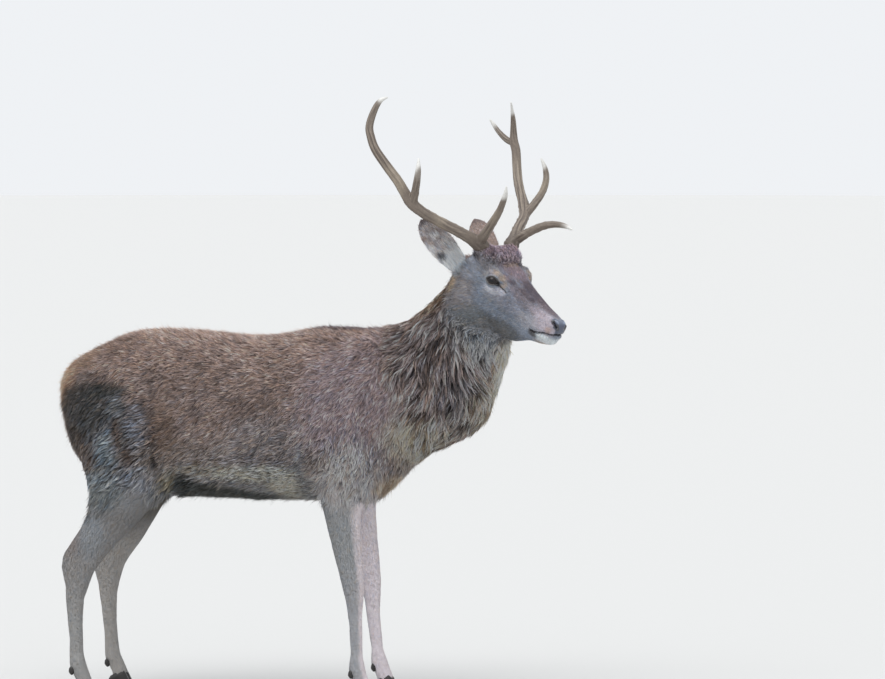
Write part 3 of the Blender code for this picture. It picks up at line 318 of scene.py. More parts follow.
def head_matrix():
    """The head's frame in the world: its X points from the eyes to the nose, its Z up through the brow."""
    yaw, pitch, roll = (math.radians(a) for a in HEAD_TURN)
    turn = Matrix.Rotation(yaw, 4, "Z") @ Matrix.Rotation(pitch, 4, "Y") @ Matrix.Rotation(roll, 4, "X")
    return Matrix.Translation(HEAD_AT) @ turn


HEAD_FRAME = head_matrix()
HEAD_ROWS = np.array(HEAD_FRAME.to_3x3())
HEAD_PLACE = np.array(HEAD_AT)


def to_head(points):
    """Places in the head's frame."""
    return (points - HEAD_PLACE) @ HEAD_ROWS


def from_head(points):
    """Places of the head's frame, back in the world."""
    return np.asarray(points) @ HEAD_ROWS.T + HEAD_PLACE


def ramp(low, high, values):
    """A smooth step from 0 at low to 1 at high."""
    t = np.clip((values - low) / (high - low), 0.0, 1.0)
    return t * t * (3 - 2 * t)


def blend(first, second, share):
    """The first values where share is 0, and the second ones where it is 1."""
    return first * (1 - share) + np.asarray(second) * share


def dyed(colour, other, share):
    """Colours turned into another colour, by one share for each place."""
    return blend(colour, other, share[:, None])


def unit(vectors):
    """The same directions at length 1."""
    return vectors / np.maximum(np.linalg.norm(vectors, axis=-1, keepdims=True), 1e-9)


def ripple(points, size, seed):
    """Smooth noise of about -1 to 1 whose bumps have this size."""
    rng = np.random.default_rng(seed)
    ways = rng.normal(size=(12, 3)) * (2.4 / size)
    starts = rng.uniform(0, 2 * math.pi, 12)
    return np.sin(points @ ways.T + starts).sum(axis=1) / 3.6


def through(rows, spans):
    """Catmull-Rom rows through the given rows, with this many steps in each span."""
    rows = np.array(rows, float)
    ends = np.vstack([2 * rows[0] - rows[1], rows, 2 * rows[-1] - rows[-2]])
    out = []
    for i in range(1, len(ends) - 2):
        a, b, c, d = ends[i - 1 : i + 3]
        for t in np.arange(spans) / spans:
            bent = (2 * a - 5 * b + 4 * c - d) * t**2 + (3 * b - a - 3 * c + d) * t**3
            out.append(0.5 * (2 * b + (c - a) * t + bent))
    out.append(rows[-1])
    return np.array(out)


def near_path(points, path):
    """Distance of each point from a line of points, the share of the way along it, and the nearest place."""
    path = np.asarray(path, float)
    best = np.full(len(points), np.inf)
    share = np.zeros(len(points))
    place = np.zeros((len(points), 3))
    lengths = np.linalg.norm(np.diff(path, axis=0), axis=1)
    starts = np.concatenate([[0.0], np.cumsum(lengths)])
    for i, length in enumerate(lengths):
        way = (path[i + 1] - path[i]) / max(length, 1e-9)
        t = np.clip((points - path[i]) @ way, 0.0, length)
        spot = path[i] + t[:, None] * way
        gap = np.linalg.norm(points - spot, axis=1)
        closer = gap < best
        best[closer] = gap[closer]
        share[closer] = (starts[i] + t[closer]) / starts[-1]
        place[closer] = spot[closer]
    return best, share, place


def folded(points):
    """The same places on the left side of the middle plane."""
    out = points.copy()
    out[:, 1] = np.abs(out[:, 1])
    return out


def ahead_of_neck(local):
    """How far places in the head's frame lie before the line where cheeks and jaw meet the neck."""
    x, z = local[:, 0], local[:, 2]
    rear = 0.794 * (x + 0.16) + 0.607 * (z + 0.06)
    nape = 0.879 * (x + 0.16) + 0.476 * (z + 0.06)
    under = 0.1 * (x + 0.095) + 0.995 * (z + 0.15)
    return np.minimum(np.minimum(rear, nape), under)


def in_ear(local):
    """1 on the ears, 0 on the head, from places in the head's frame."""
    out = np.zeros(len(local))
    for root, tip, _ in EARS.values():
        root, tip = np.array(root), np.array(tip)
        gap, share, _ = near_path(local, (root, tip))
        out = np.maximum(out, ramp(0.03, 0.15, share) * (1 - ramp(0.058, EAR_REACH, gap)))
    return out


def in_mane(body):
    """1 on the neck and mane, 0 on the trunk."""
    line = np.interp(body[:, 2], (0.6, 0.8, 0.98, 1.22), (0.59, 0.51, 0.45, 0.43))
    return ramp(-0.03, 0.1, body[:, 0] - line)


def in_leg(body):
    """1 on the legs, 0 on the trunk: higher up where the legs are than on the belly between them."""
    x = body[:, 0]
    limb = np.maximum(ramp(0.22, 0.26, x) * (1 - ramp(0.4, 0.44, x)), 1 - ramp(-0.3, -0.24, x))
    slope = 0.52 * np.clip(x + 0.345, -0.1, 0.09) * (1 - ramp(-0.3, -0.2, x))
    ragged = slope + 0.016 * ripple(body, 0.03, 44)
    return 1 - ramp(0.54 + 0.04 * limb + ragged, 0.61 + 0.09 * limb + ragged, body[:, 2])


class Places:
    """Where a set of points lies on the animal: in its body's and its head's frame, and in which region."""

    def __init__(self, points):
        self.world = points
        self.body = points - BODY_AT
        self.head_at = to_head(points)
        self.ear = in_ear(self.head_at)
        self.before = ahead_of_neck(self.head_at)
        self.head = np.maximum(ramp(-0.03, 0.02, self.before), self.ear)
        self.mane = in_mane(self.body) * (1 - self.head)
        self.leg = in_leg(self.body)
        self.nose = in_nose(self.head_at)


def in_nose(local):
    """1 on the bare nose pad."""
    x, y, z = folded(local).T
    front = 0.231 - 0.6 * np.minimum(y, 0.022) + 1.2 * np.maximum(-z - 0.008, 0.0) * ramp(0.006, 0.02, y)
    front = np.minimum(front, 0.2455)
    across = 1 - ramp(0.027, 0.0295, y + 0.2 * (z + 0.015))
    return ramp(-0.0015, 0.0015, x - front) * ramp(-0.046, -0.043, z) * across


def eye_axes(side):
    """The way an eye looks and its lids' line from back to front. Side 1 is the left, side -1 the right."""
    out = unit(EYE_OUT * (1, side, 1))
    line = EYE_LINE * (1, side, 1)
    return out, unit(line - out * (line @ out))


def lid_shape(local, side):
    """How far points are from the slit between the lids, below 1 inside it; how far from the eye; how high."""
    out, line = eye_axes(side)
    up = np.cross(line, out)
    up = up if up[2] > 0 else -up
    reach = local - EYE * (1, side, 1)
    gap = np.linalg.norm(reach, axis=1)
    way = reach / gap[:, None]
    facing = way @ out
    u = np.arctan2(way @ line, facing) * EYE_RADIUS
    w = np.arctan2(way @ up, facing) * EYE_RADIUS
    half = np.where(u > 0, 0.03, 0.019)
    height = np.where(w > 0, 0.0122, 0.0104)
    shape = np.abs(u / half) ** np.where(u > 0, 1.3, 1.9) + np.abs(w / height) ** 1.8
    shape[facing < 0.1] = FAR
    return shape, gap, w


def ear_side(local, normals):
    """For places on an ear: 1 in the hollow and 0 on its back, how far along, and how far across."""
    hollow, along, across = np.zeros((3, len(local)))
    best = np.full(len(local), np.inf)
    for root, tip, facing in EARS.values():
        root, tip, facing = np.array(root), np.array(tip), np.array(facing)
        way = tip - root
        side = unit(np.cross(facing, way))
        face = unit(np.cross(way, side))
        face = face if face @ facing > 0 else -face
        gap, share, spot = near_path(local, (root, tip))
        mine = gap < best
        best[mine] = gap[mine]
        hollow[mine] = ramp(-0.1, 0.25, normals[mine] @ face)
        along[mine] = share[mine]
        across[mine] = ((local[mine] - spot[mine]) @ side) / EAR_HALF
    return hollow, along, across


def spots(colour, places, marks):
    """Lays soft oval spots of other colours over the first ones."""
    for centre, radii, shade, strength in marks:
        far = np.linalg.norm((places - centre) / np.array(radii), axis=1)
        colour = dyed(colour, shade, strength * (1 - ramp(0.45, 1.15, far)))
    return colour


def body_colours(places, normals):
    """The coat's colours on the trunk, the neck and the legs, with painted shade in some creases and between
    the thighs, and painted light low inside the hind legs.
    """
    flat = folded(places.body)
    x, y, z = flat.T
    heights, shades = [row[0] for row in SHADES], np.array([row[1] for row in SHADES])
    height = z + 0.012 * ripple(places.world, 0.09, 3)
    colour = np.stack([np.interp(height, heights, shades[:, k]) for k in range(3)], axis=1)
    colour = spots(colour, flat, BODY_MARKS)
    inward = -normals[:, 1] * np.sign(places.body[:, 1])
    rear = x < 0
    # The forelegs are pale in front.
    colour = dyed(colour, (0.86, 0.77, 0.795), 0.85 * (ramp(0.25, 0.9, normals[:, 0]) * places.leg * ~rear))
    # The mane parts in dark streaks, weaker ones on the throat.
    parting = ramp(-0.55, 0.35, ripple(places.world * (1, 1, 0.3), 0.013, 41))
    parting = (1 - parting) * (1 - 0.85 * ramp(0.735, 0.8, x))
    colour = colour * (1 - 0.76 * parting * ramp(0.15, 0.8, places.mane))[:, None]
    mottle = 0.12 * ripple(places.world, 0.034, 5) + 0.08 * ripple(places.world, 0.12, 6)
    colour = colour * (1 + mottle * (1 - places.leg))[:, None]
    # The legs' inner sides are pale, but dark at the top of the hind ones: a painted shade between the thighs.
    colour = dyed(colour, (0.9, 0.815, 0.86), 0.92 * (places.leg * ramp(0.15, 0.8, inward)) * ~rear)
    groin = 0.9 * ramp(-0.3, 0.3, inward) * rear * places.leg * ramp(0.5, 0.6, z)
    colour = dyed(colour, (0.11, 0.09, 0.062), groin)
    # Low on the hind ones the pale is partly their own colour and partly painted light where the legs stand in
    # shade.
    low = 0.8 * ramp(-0.2, 0.4, inward) * rear * places.leg * (1 - ramp(0.44, 0.54, z))
    colour = dyed(colour, (0.45, 0.425, 0.405), low)
    # The belly's dark band, between the legs.
    belly = 0.684 - (x + 0.164) * 0.205
    dark = ramp(-0.01, 0.022, belly - z + 0.006 * ripple(places.world, 0.03, 9))
    dark = dark * ramp(-0.2, -0.165, x) * (1 - ramp(0.13, 0.215, x))
    return dyed(colour, (0.056, 0.06, 0.056), 0.92 * dark * (1 - ramp(0.125, 0.15, y)))


def ear_colours(places, normals):
    """The ears' colours: a pale hollow with rust and one dark spot, a brown back, and dark edges."""
    hollow, along, across = ear_side(places.head_at, normals @ HEAD_ROWS)
    inside = np.array((0.67, 0.66, 0.68)) * (1 - 0.26 * ripple(places.world, 0.014, 8))[:, None]
    rust = ramp(0.1, 0.9, ripple(places.world, 0.018, 18)) * 0.5 + 0.5 * ramp(0.55, 0.85, along)
    inside = dyed(inside, (0.27, 0.2, 0.185), rust)
    inside = dyed(inside, (0.81, 0.85, 0.91), 1 - ramp(0.2, 0.44, along))
    spot = ramp(0.22, 0.28, along) * (1 - ramp(0.36, 0.42, along))
    spot = spot * (1 - ramp(0.14, 0.36, np.abs(across - 0.45)))
    inside = dyed(inside, (0.03, 0.03, 0.04), 0.8 * spot)
    back = np.array((0.32, 0.25, 0.225))
    edge = ramp(0.84, 1.0, np.abs(across)) + 0.8 * ramp(0.8, 1.0, along)
    return dyed(back + (inside - back) * hollow[:, None], (0.1, 0.072, 0.074), np.clip(edge, 0, 1) * 0.85)


def markings(places, normals):
    """The coat's colour at each place, the same for skin and hair, with painted shade in some creases and
    between the thighs, painted light low inside the hind legs, and a painted highlight on the nose pad.
    """
    x, _, z = places.head_at.T
    face = spots(np.tile(np.array(FACE), (len(x), 1)), folded(places.head_at), HEAD_MARKS)
    face = dyed(face, ear_colours(places, normals), places.ear)
    colour = dyed(body_colours(places, normals), face, places.head)
    # The nose pad: dark, with a painted pale highlight on its top and front.
    pad = dyed(np.array((0.036, 0.052, 0.105)), (0.48, 0.56, 0.72), ramp(-0.015, -0.004, z + 0.5 * (x - 0.24)))
    return np.clip(dyed(colour, pad, places.nose), 0.004, 0.95)


def combed(at, table, radius):
    """The ways that a table gives, spread over places on both sides of the middle plane."""
    flat, side = folded(at), np.sign(at[:, 1])
    total = np.zeros_like(flat)
    # Each way counts near its place, and a little of it everywhere, so that no place is left without one.
    for spot, towards in table:
        far = ((flat - np.array(spot)) ** 2).sum(axis=1)
        total += (np.exp(-far / radius**2) + 1e-5 / (1 + far * 400))[:, None] * np.array(towards)
    total = unit(total)
    total[:, 1] *= np.where(side == 0, 1.0, side)
    return total


def lie(places, normals):
    """The way the hair points at each place, along the skin."""
    way = combed(places.body, LIE_BODY, 0.085)
    way = blend(way, combed(places.head_at, LIE_HEAD, 0.04) @ HEAD_ROWS.T, places.head[:, None])
    for root, tip, _ in EARS.values():
        gap, _, _ = near_path(places.head_at, (root, tip))
        towards = unit(np.array(tip) - np.array(root)) @ HEAD_ROWS.T
        way = blend(way, towards, (places.ear * (gap < EAR_REACH))[:, None])
    way = way - normals * (way * normals).sum(axis=1, keepdims=True)
    return unit(way)


def depth_of(places):
    """How far the skin lies inside the tips of the coat."""
    depth = blend(0.0075 + 0.008 * places.mane, 0.002, places.leg)
    depth = blend(depth, 0.0015, 1 - ramp(0.1, 0.3, places.body[:, 2]))
    muzzle = ramp(0.16, 0.22, places.head_at[:, 0])
    depth = blend(depth, 0.0038 - 0.0032 * muzzle, places.head)
    return depth * (1 - places.ear)


def points_of(mesh):
    """Where a mesh's points are, in rows of x, y and z."""
    points = np.empty(len(mesh.vertices) * 3)
    mesh.vertices.foreach_get("co", points)
    return points.reshape(-1, 3)


def set_points(mesh, points):
    """Moves a mesh's points to these places."""
    mesh.vertices.foreach_set("co", np.ascontiguousarray(points, np.float32).ravel())
    mesh.update()


def mesh_arrays(mesh):
    """Points, triangles and unit normals of a mesh of triangles."""
    normals = np.empty(len(mesh.vertices) * 3, np.float32)
    mesh.vertex_normals.foreach_get("vector", normals)
    corners = np.empty(len(mesh.loops), np.int32)
    mesh.loops.foreach_get("vertex_index", corners)
    return points_of(mesh), corners.reshape(-1, 3), normals.reshape(-1, 3).astype(float)


def normals_of(points, faces):
    """Unit normals at the points, weighted by area."""
    a, b, c = (points[faces[:, k]] for k in range(3))
    flat = np.cross(b - a, c - a)
    out = np.zeros_like(points)
    for k in range(3):
        for axis in range(3):
            out[:, axis] += np.bincount(faces[:, k], flat[:, axis], len(points))
    return unit(out)


def relax(values, edges, rounds, share):
    """Moves values at the points towards their neighbours' mean: by 0.6 of the share in each round."""
    values = values.copy()
    count = np.bincount(edges.ravel(), minlength=len(values)).astype(float)
    flat = values.ndim == 1
    if flat:
        values = values[:, None]
    share = np.broadcast_to(np.asarray(share, float), (len(values),))[:, None] * 0.6
    for _ in range(rounds):
        for k in range(values.shape[1]):
            column = values[:, k]
            total = np.bincount(edges[:, 0], column[edges[:, 1]], len(column))
            total += np.bincount(edges[:, 1], column[edges[:, 0]], len(column))
            values[:, k] = column + (total / np.maximum(count, 1) - column) * share[:, 0]
    return values[:, 0] if flat else values


def smoothed(points, faces, edges, rounds, share, spread, kept):
    """Points relaxed this many rounds, then put back by part of what was lost, spread over the neighbours."""
    soft = relax(points, edges, rounds, share)
    normals = normals_of(soft, faces)
    lost = relax(((points - soft) * normals).sum(axis=1), edges, spread, 1.0)
    return soft + normals * (lost * kept)[:, None]


def tree_of(points):
    """The points in a tree, to find the nearest one to a place."""
    tree = KDTree(len(points))
    for i, place in enumerate(points):
        tree.insert(place, i)
    tree.balance()
    return tree


def edges_of(mesh):
    """The two points at the ends of each edge."""
    edges = np.empty(len(mesh.edges) * 2, np.int32)
    mesh.edges.foreach_get("vertices", edges)
    return edges.reshape(-1, 2)


def only(thing):
    """Selects this object alone."""
    if bpy.context.mode != "OBJECT":
        bpy.ops.object.mode_set(mode="OBJECT")
    bpy.ops.object.select_all(action="DESELECT")
    thing.select_set(True)
    bpy.context.view_layer.objects.active = thing


def apply_all(thing):
    """Applies an object's modifiers in their order."""
    only(thing)
    for modifier in list(thing.modifiers):
        bpy.ops.object.modifier_apply(modifier=modifier.name)


def linked(name, data):
    """A new object of the scene with this mesh, light or camera."""
    thing = bpy.data.objects.new(name, data)
    bpy.context.scene.collection.objects.link(thing)
    return thing


def made_of(name, shape):
    """A new object from a shape that is no longer edited."""
    mesh = bpy.data.meshes.new(name)
    shape.to_mesh(mesh)
    shape.free()
    return linked(name, mesh)


def of_triangles(name, points, faces):
    """A new object from arrays of points and of triangles' corners."""
    mesh = bpy.data.meshes.new(name)
    mesh.vertices.add(len(points))
    mesh.vertices.foreach_set("co", np.ascontiguousarray(points, np.float32).ravel())
    mesh.loops.add(3 * len(faces))
    mesh.loops.foreach_set("vertex_index", np.ascontiguousarray(faces, np.int32).ravel())
    mesh.polygons.add(len(faces))
    mesh.polygons.foreach_set("loop_start", np.arange(0, 3 * len(faces), 3, dtype=np.int32))
    mesh.update(calc_edges=True)
    return linked(name, mesh)


def paint(mesh, name, colours):
    """Stores a colour for each point."""
    layer = mesh.attributes.new(name, "FLOAT_COLOR", "POINT")
    rows = np.ones((len(colours), 4), np.float32)
    rows[:, :3] = colours
    layer.data.foreach_set("color", rows.ravel())


def mark(mesh, name, values):
    """Stores a number for each point."""
    layer = mesh.attributes.new(name, "FLOAT", "POINT")
    layer.data.foreach_set("value", np.asarray(values, np.float32))


def finish(thing, material, slot, nodes=()):
    """Gives a piece its finish, and puts it on the one body."""
    thing.data.materials.clear()
    thing.data.materials.append(material)
    thing.data.shade_smooth()
    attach(thing, "root")
    if nodes:
        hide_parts(*nodes)


# ---------------------------------------------------------------------------------------------- finishes


def new_material(name):
    """A new material, with its node tree and its shader."""
    made = bpy.data.materials.new(name)
    made.use_nodes = True
    return made, made.node_tree, made.node_tree.nodes["Principled BSDF"]


def add_node(tree, kind, x, y, **values):
    """A new node placed at x, y, with values for its inputs or its own settings."""
    made = tree.nodes.new(kind)
    made.location = (x, y)
    for key, value in values.items():
        if key in made.inputs:
            made.inputs[key].default_value = value
        else:
            setattr(made, key, value)
    return made


def noise(tree, scale, detail, x, y):
    """A noise in the object's own coordinates."""
    where = add_node(tree, "ShaderNodeTexCoord", x - 200, y)
    made = add_node(tree, "ShaderNodeTexNoise", x, y, Scale=scale, Detail=detail)
    tree.links.new(where.outputs["Object"], made.inputs["Vector"])
    return made.outputs["Fac"]


def span(tree, value, low, high, x, y):
    """Turns a value of 0 to 1 into low to high."""
    made = add_node(tree, "ShaderNodeMapRange", x, y)
    made.inputs["To Min"].default_value = low
    made.inputs["To Max"].default_value = high
    tree.links.new(value, made.inputs["Value"])
    return made.outputs["Result"]


def tinted(tree, colour, factor, x, y):
    """A colour times a grey factor."""
    made = add_node(tree, "ShaderNodeVectorMath", x, y, operation="SCALE")
    tree.links.new(colour, made.inputs[0])
    tree.links.new(factor, made.inputs["Scale"])
    return made.outputs["Vector"]


def bumped(tree, shader, scale, detail, distance, strength):
    """Gives a finish the small relief of a noise."""
    made = add_node(tree, "ShaderNodeBump", -300, -420)
    made.inputs["Distance"].default_value = distance
    made.inputs["Strength"].default_value = strength
    tree.links.new(noise(tree, scale, detail, -700, -420), made.inputs["Height"])
    tree.links.new(made.outputs["Normal"], shader.inputs["Normal"])


def shaded(name, scale, detail, low, high):
    """A finish in the colours stored on the points, flecked from low to high by a noise."""
    made, tree, shader = new_material(name)
    shade = add_node(tree, "ShaderNodeAttribute", -900, 200, attribute_name="shade")
    speck = span(tree, noise(tree, scale, detail, -900, 0), low, high, -640, 0)
    tree.links.new(tinted(tree, shade.outputs["Color"], speck, -420, 160), shader.inputs["Base Color"])
    return made, tree, shader


def wetted(tree, shader, spans):
    """Turns the shader's inputs from a dry value to a wet one where the points are marked as wet."""
    wet = add_node(tree, "ShaderNodeAttribute", -900, -200, attribute_name="wet").outputs["Fac"]
    for row, (name, dry, soaked) in enumerate(spans):
        tree.links.new(span(tree, wet, dry, soaked, -420, -120 - 180 * row), shader.inputs[name])


def hide_finish():
    """The skin: matt, but glossy where it is wet, with a fine grain."""
    made, tree, shader = shaded("hide", 420.0, 3.0, 0.72, 1.28)
    wetted(tree, shader, (("Roughness", 0.78, 0.16), ("Specular IOR Level", 0.2, 1.0)))
    bumped(tree, shader, 700.0, 4.0, 0.0008, 0.5)
    return made


def antler_finish():
    """The antlers: flecked and grainy, smoother at their polished tips."""
    made, tree, shader = shaded("antler", 160.0, 6.0, 0.74, 1.26)
    wetted(tree, shader, (("Roughness", 0.58, 0.3),))
    bumped(tree, shader, 420.0, 5.0, 0.001, 0.45)
    return made


def coat_finish():
    """The hair: the stored colours with a soft sheen."""
    made, _, shader = shaded("coat", 900.0, 2.0, 0.8, 1.2)
    shader.inputs["Roughness"].default_value = 0.6
    shader.inputs["Specular IOR Level"].default_value = 0.16
    return made


def eye_finish():
    """The eyeballs: dark, smooth and glossy."""
    made, _, shader = shaded("eye", 900.0, 3.0, 0.7, 1.3)
    shader.inputs["Roughness"].default_value = 0.05
    shader.inputs["Specular IOR Level"].default_value = 0.36
    return made


def hoof_finish(colours):
    """The horn of hooves and dewclaws: a dark and a lighter shade of one colour, mixed in flecks."""
    made, tree, shader = new_material("hoof")
    speck = noise(tree, 60.0, 5.0, -900, 0)
    # The node's sockets share their names, so they go by number: 0 is the factor, 6 and 7 are the colours.
    mix = add_node(tree, "ShaderNodeMix", -500, 100, data_type="RGBA")
    mix.inputs[6].default_value = (*(0.6 * c for c in colours.hoof), 1.0)
    mix.inputs[7].default_value = (*(1.7 * c for c in colours.hoof), 1.0)
    tree.links.new(speck, mix.inputs[0])
    tree.links.new(mix.outputs[2], shader.inputs["Base Color"])
    tree.links.new(span(tree, speck, 0.3, 0.55, -640, -200), shader.inputs["Roughness"])
    bumped(tree, shader, 300.0, 4.0, 0.0008, 0.4)
    return made


# ---------------------------------------------------------------------------------------------- the skin


def grown_together(name, shape, cell):
    """A new object: the outer shell of a shape's overlapping bodies, in even small faces."""
    thing = made_of(name, shape)
    remesh = thing.modifiers.new("even", "REMESH")
    remesh.mode = "VOXEL"
    remesh.voxel_size = cell
    apply_all(thing)
    keep_outside(thing)
    return thing


def raw_skin(cell):
    """Joins the flesh nodes into one closed body of even small faces."""
    shape = bmesh.new()
    for name in [*FLESH, *(f"eye_{side}" for side in SIDES)]:
        part = bmesh.new()
        part.from_mesh(bpy.data.objects[name].data)
        bmesh.ops.remove_doubles(part, verts=part.verts, dist=1e-6)
        part.normal_update()
        for vertex in part.verts:
            vertex.co += vertex.normal * SWELL * min(vertex.calc_shell_factor(), 1.6)
        mesh = bpy.data.meshes.new("part")
        part.to_mesh(mesh)
        part.free()
        shape.from_mesh(mesh)
        bpy.data.meshes.remove(mesh)
    return grown_together("skin", shape, cell)


def keep_outside(thing):
    """Drops the closed pockets inside the largest shell."""
    shape = bmesh.new()
    shape.from_mesh(thing.data)
    shape.verts.ensure_lookup_table()
    label = np.full(len(shape.verts), -1)
    sizes = []
    for seed in shape.verts:
        if label[seed.index] >= 0:
            continue
        number, edge, size = len(sizes), [seed], 0
        label[seed.index] = number
        while edge:
            vertex = edge.pop()
            size += 1
            for link in vertex.link_edges:
                other = link.other_vert(vertex)
                if label[other.index] < 0:
                    label[other.index] = number
                    edge.append(other)
        sizes.append(size)
    largest = int(np.argmax(sizes))
    loose = [v for v in shape.verts if label[v.index] != largest]
    bmesh.ops.delete(shape, geom=loose, context="VERTS")
    shape.to_mesh(thing.data)
    shape.free()


def thin_skin(thing, triangles):
    """Fewer faces on the trunk, all of them on the head."""
    places = Places(points_of(thing.data))
    weight = np.round(np.clip(1 - 0.9 * places.head - 0.25 * places.leg, 0.05, 1.0), 1)
    group = thing.vertex_groups.new(name="coarse")
    for level in np.unique(weight):
        group.add(np.nonzero(weight == level)[0].tolist(), float(level), "REPLACE")
    modifier = thing.modifiers.new("thin", "DECIMATE")
    modifier.ratio = triangles / (2 * len(thing.data.polygons))
    modifier.vertex_group = "coarse"
    modifier.vertex_group_factor = 0.00002
    apply_all(thing)
    thing.vertex_groups.clear()


def triangulate(thing):
    """Splits an object's faces into triangles."""
    shape = bmesh.new()
    shape.from_mesh(thing.data)
    bmesh.ops.triangulate(shape, faces=shape.faces)
    shape.to_mesh(thing.data)
    shape.free()


def refine(thing, chosen):
    """Cuts the faces between the chosen points into smaller ones."""
    shape = bmesh.new()
    shape.from_mesh(thing.data)
    shape.verts.ensure_lookup_table()
    edges = [e for e in shape.edges if chosen[e.verts[0].index] and chosen[e.verts[1].index]]
    bmesh.ops.subdivide_edges(shape, edges=edges, cuts=1, use_grid_fill=True)
    bmesh.ops.triangulate(shape, faces=shape.faces)
    shape.to_mesh(thing.data)
    shape.free()


def smooth_skin(thing):
    """Rounds away the solids' flat faces, keeps their volume, and draws the skin in by the coat's depth."""
    points, faces, _ = mesh_arrays(thing.data)
    edges = edges_of(thing.data)
    places = Places(points)
    share = 1 - 0.8 * places.leg
    share = blend(share, 0.42, places.head)
    share = blend(share, 0.16, places.ear)
    soft = smoothed(points, faces, edges, 34, share, spread=40, kept=1.0)
    soft = relax(soft, edges, 2, 0.5)
    normals = normals_of(soft, faces)
    places = Places(soft)
    depth = relax(depth_of(places) + SWELL, edges, 8, 1.0)
    set_points(thing.data, soft - normals * depth[:, None])


def lines_on(local, table):
    """The folds' paths drawn down onto the skin: rows of points, radius, amount and darkness."""
    tree = tree_of(local)
    lines = []
    for path, radius, amount, dark in table:
        for side in (1, -1):
            rows = through([(x, side * y, z) for x, y, z in path], 4)
            rows = np.array([tree.find(row)[0] for row in rows])
            lines.append((rows, radius, amount, dark))
    return lines


def fold_gaps(local, lines):
    """Each line's distance from the points near it, with the line's own numbers."""
    for rows, radius, amount, dark in lines:
        reach = 3.5 * radius
        inside = (local > rows.min(axis=0) - reach) & (local < rows.max(axis=0) + reach)
        near = np.nonzero(inside.all(axis=1))[0]
        if len(near):
            gap, share, _ = near_path(local[near], rows)
            yield near, gap / radius, share, amount, dark


def slits_of_dark_skin_and_shade(local):
    """For each slit and lip of the head painted near-black, partly dark bare skin and partly painted shade:
    the points near it, their distance and its darkness.
    """
    for near, gap, _, _, dark in fold_gaps(local, lines_on(local, FOLDS)):
        if dark > 0.7:
            yield near, gap, dark


def folded_in(local, normals, lines):
    """Points pushed in and out along the folds."""
    moved = np.zeros(len(local))
    for near, gap, share, amount, _ in fold_gaps(local, lines):
        ends = (0.25 + 0.75 * ramp(0.0, 0.12, share)) * (1 - 0.7 * ramp(0.9, 1.0, share))
        moved[near] += amount * ends * np.exp(-(gap**2) * 1.4)
    return local + normals * moved[:, None]


def shape_skin(thing):
    """Folds of the body; and on the head lids, tear slits, lips, nostrils and the lie of the cheeks."""
    points, _, normals = mesh_arrays(thing.data)
    points = folded_in(points - BODY_AT, normals, lines_on(points - BODY_AT, BODY_FOLDS)) + BODY_AT
    local = to_head(points)
    local = folded_in(local, normals @ HEAD_ROWS, lines_on(local, FOLDS))
    for side in (1, -1):
        # In the slit the skin goes behind the eyeball. The lids stand round it, the upper one thicker.
        centre = EYE * (1, side, 1)
        shape, gap, w = lid_shape(local, side)
        near = (gap < 0.042) & (shape < FAR - 0.5)
        inside = near & (shape < 1.0)
        way = unit(local - centre)
        reach = gap.copy()
        reach[inside] = EYE_RADIUS - 0.0008 - 0.004 * ramp(1.0, 0.84, shape[inside])
        rim = near & (shape >= 1.0)
        thick = 0.003 * (w > 0) + 0.002 * (w <= 0)
        lid = EYE_RADIUS + 0.0004 + thick * np.sqrt(ramp(0.98, 1.3, shape))
        hold = 1 - ramp(1.8, 5.2, shape)
        fold = np.exp(-(((shape - 2.5) / 0.4) ** 2)) * (0.0016 * (w > 0) + 0.0007 * (w <= 0))
        target = lid * hold + np.maximum(gap, EYE_RADIUS + 0.0006) * (1 - hold) - fold
        reach[rim] = np.where(shape < 1.8, lid, target)[rim]
        local[near] = centre + way[near] * reach[near, None]
    set_points(thing.data, from_head(local))


def make_skin(sizes):
    """The finished skin object."""
    thing = raw_skin(sizes.skin_cell)
    thin_skin(thing, sizes.skin_faces)
    triangulate(thing)
    smooth_skin(thing)
    local = folded(to_head(points_of(thing.data)))
    eye = np.linalg.norm(local - EYE, axis=1) < 0.038
    muzzle = (local[:, 0] > 0.145) & (local[:, 1] < 0.1) & (local[:, 2] > -0.12)
    refine(thing, eye | muzzle)
    shape_skin(thing)
    return thing


def unwrap(thing):
    """Lays the skin out flat in pieces, for the map named OFBake."""
    only(thing)
    thing.data.uv_layers.new(name="OFBake")
    bpy.ops.object.mode_set(mode="EDIT")
    bpy.ops.mesh.select_all(action="SELECT")
    bpy.ops.uv.smart_project(angle_limit=math.radians(66), island_margin=0.001)
    bpy.ops.object.mode_set(mode="OBJECT")


def colour_skin(thing):
    """Stores the skin's colours, with bare lids, slits and lips painted dark as dark bare skin and as painted
    shade, and where it is wet.
    """
    points, _, normals = mesh_arrays(thing.data)
    places = Places(points)
    wet = places.nose.copy()
    tone = 1 + 0.18 * ripple(points, 0.006, 21) * (1 - places.nose) * (1 - 0.85 * places.leg)
    colour = markings(places, normals) * (0.8 * tone)[:, None]
    for side in (1, -1):
        shape, gap, _ = lid_shape(places.head_at, side)
        rim = (1 - ramp(1.35, 1.8, shape)) * (gap < 0.04)
        colour = dyed(colour, (0.018, 0.014, 0.013), rim)
        wet = np.maximum(wet, 0.8 * rim)
    # The tear slits, mouth line and nostrils: near-black, partly dark bare skin and partly painted shade in
    # their depth.
    for near, gap, dark in slits_of_dark_skin_and_shade(places.head_at):
        colour[near] = dyed(colour[near], (0.016, 0.014, 0.015), dark * (1 - ramp(0.8, 1.7, gap)))
    paint(thing.data, "shade", colour)
    mark(thing.data, "wet", wet)


# ---------------------------------------------------------------------------------------------- the coat


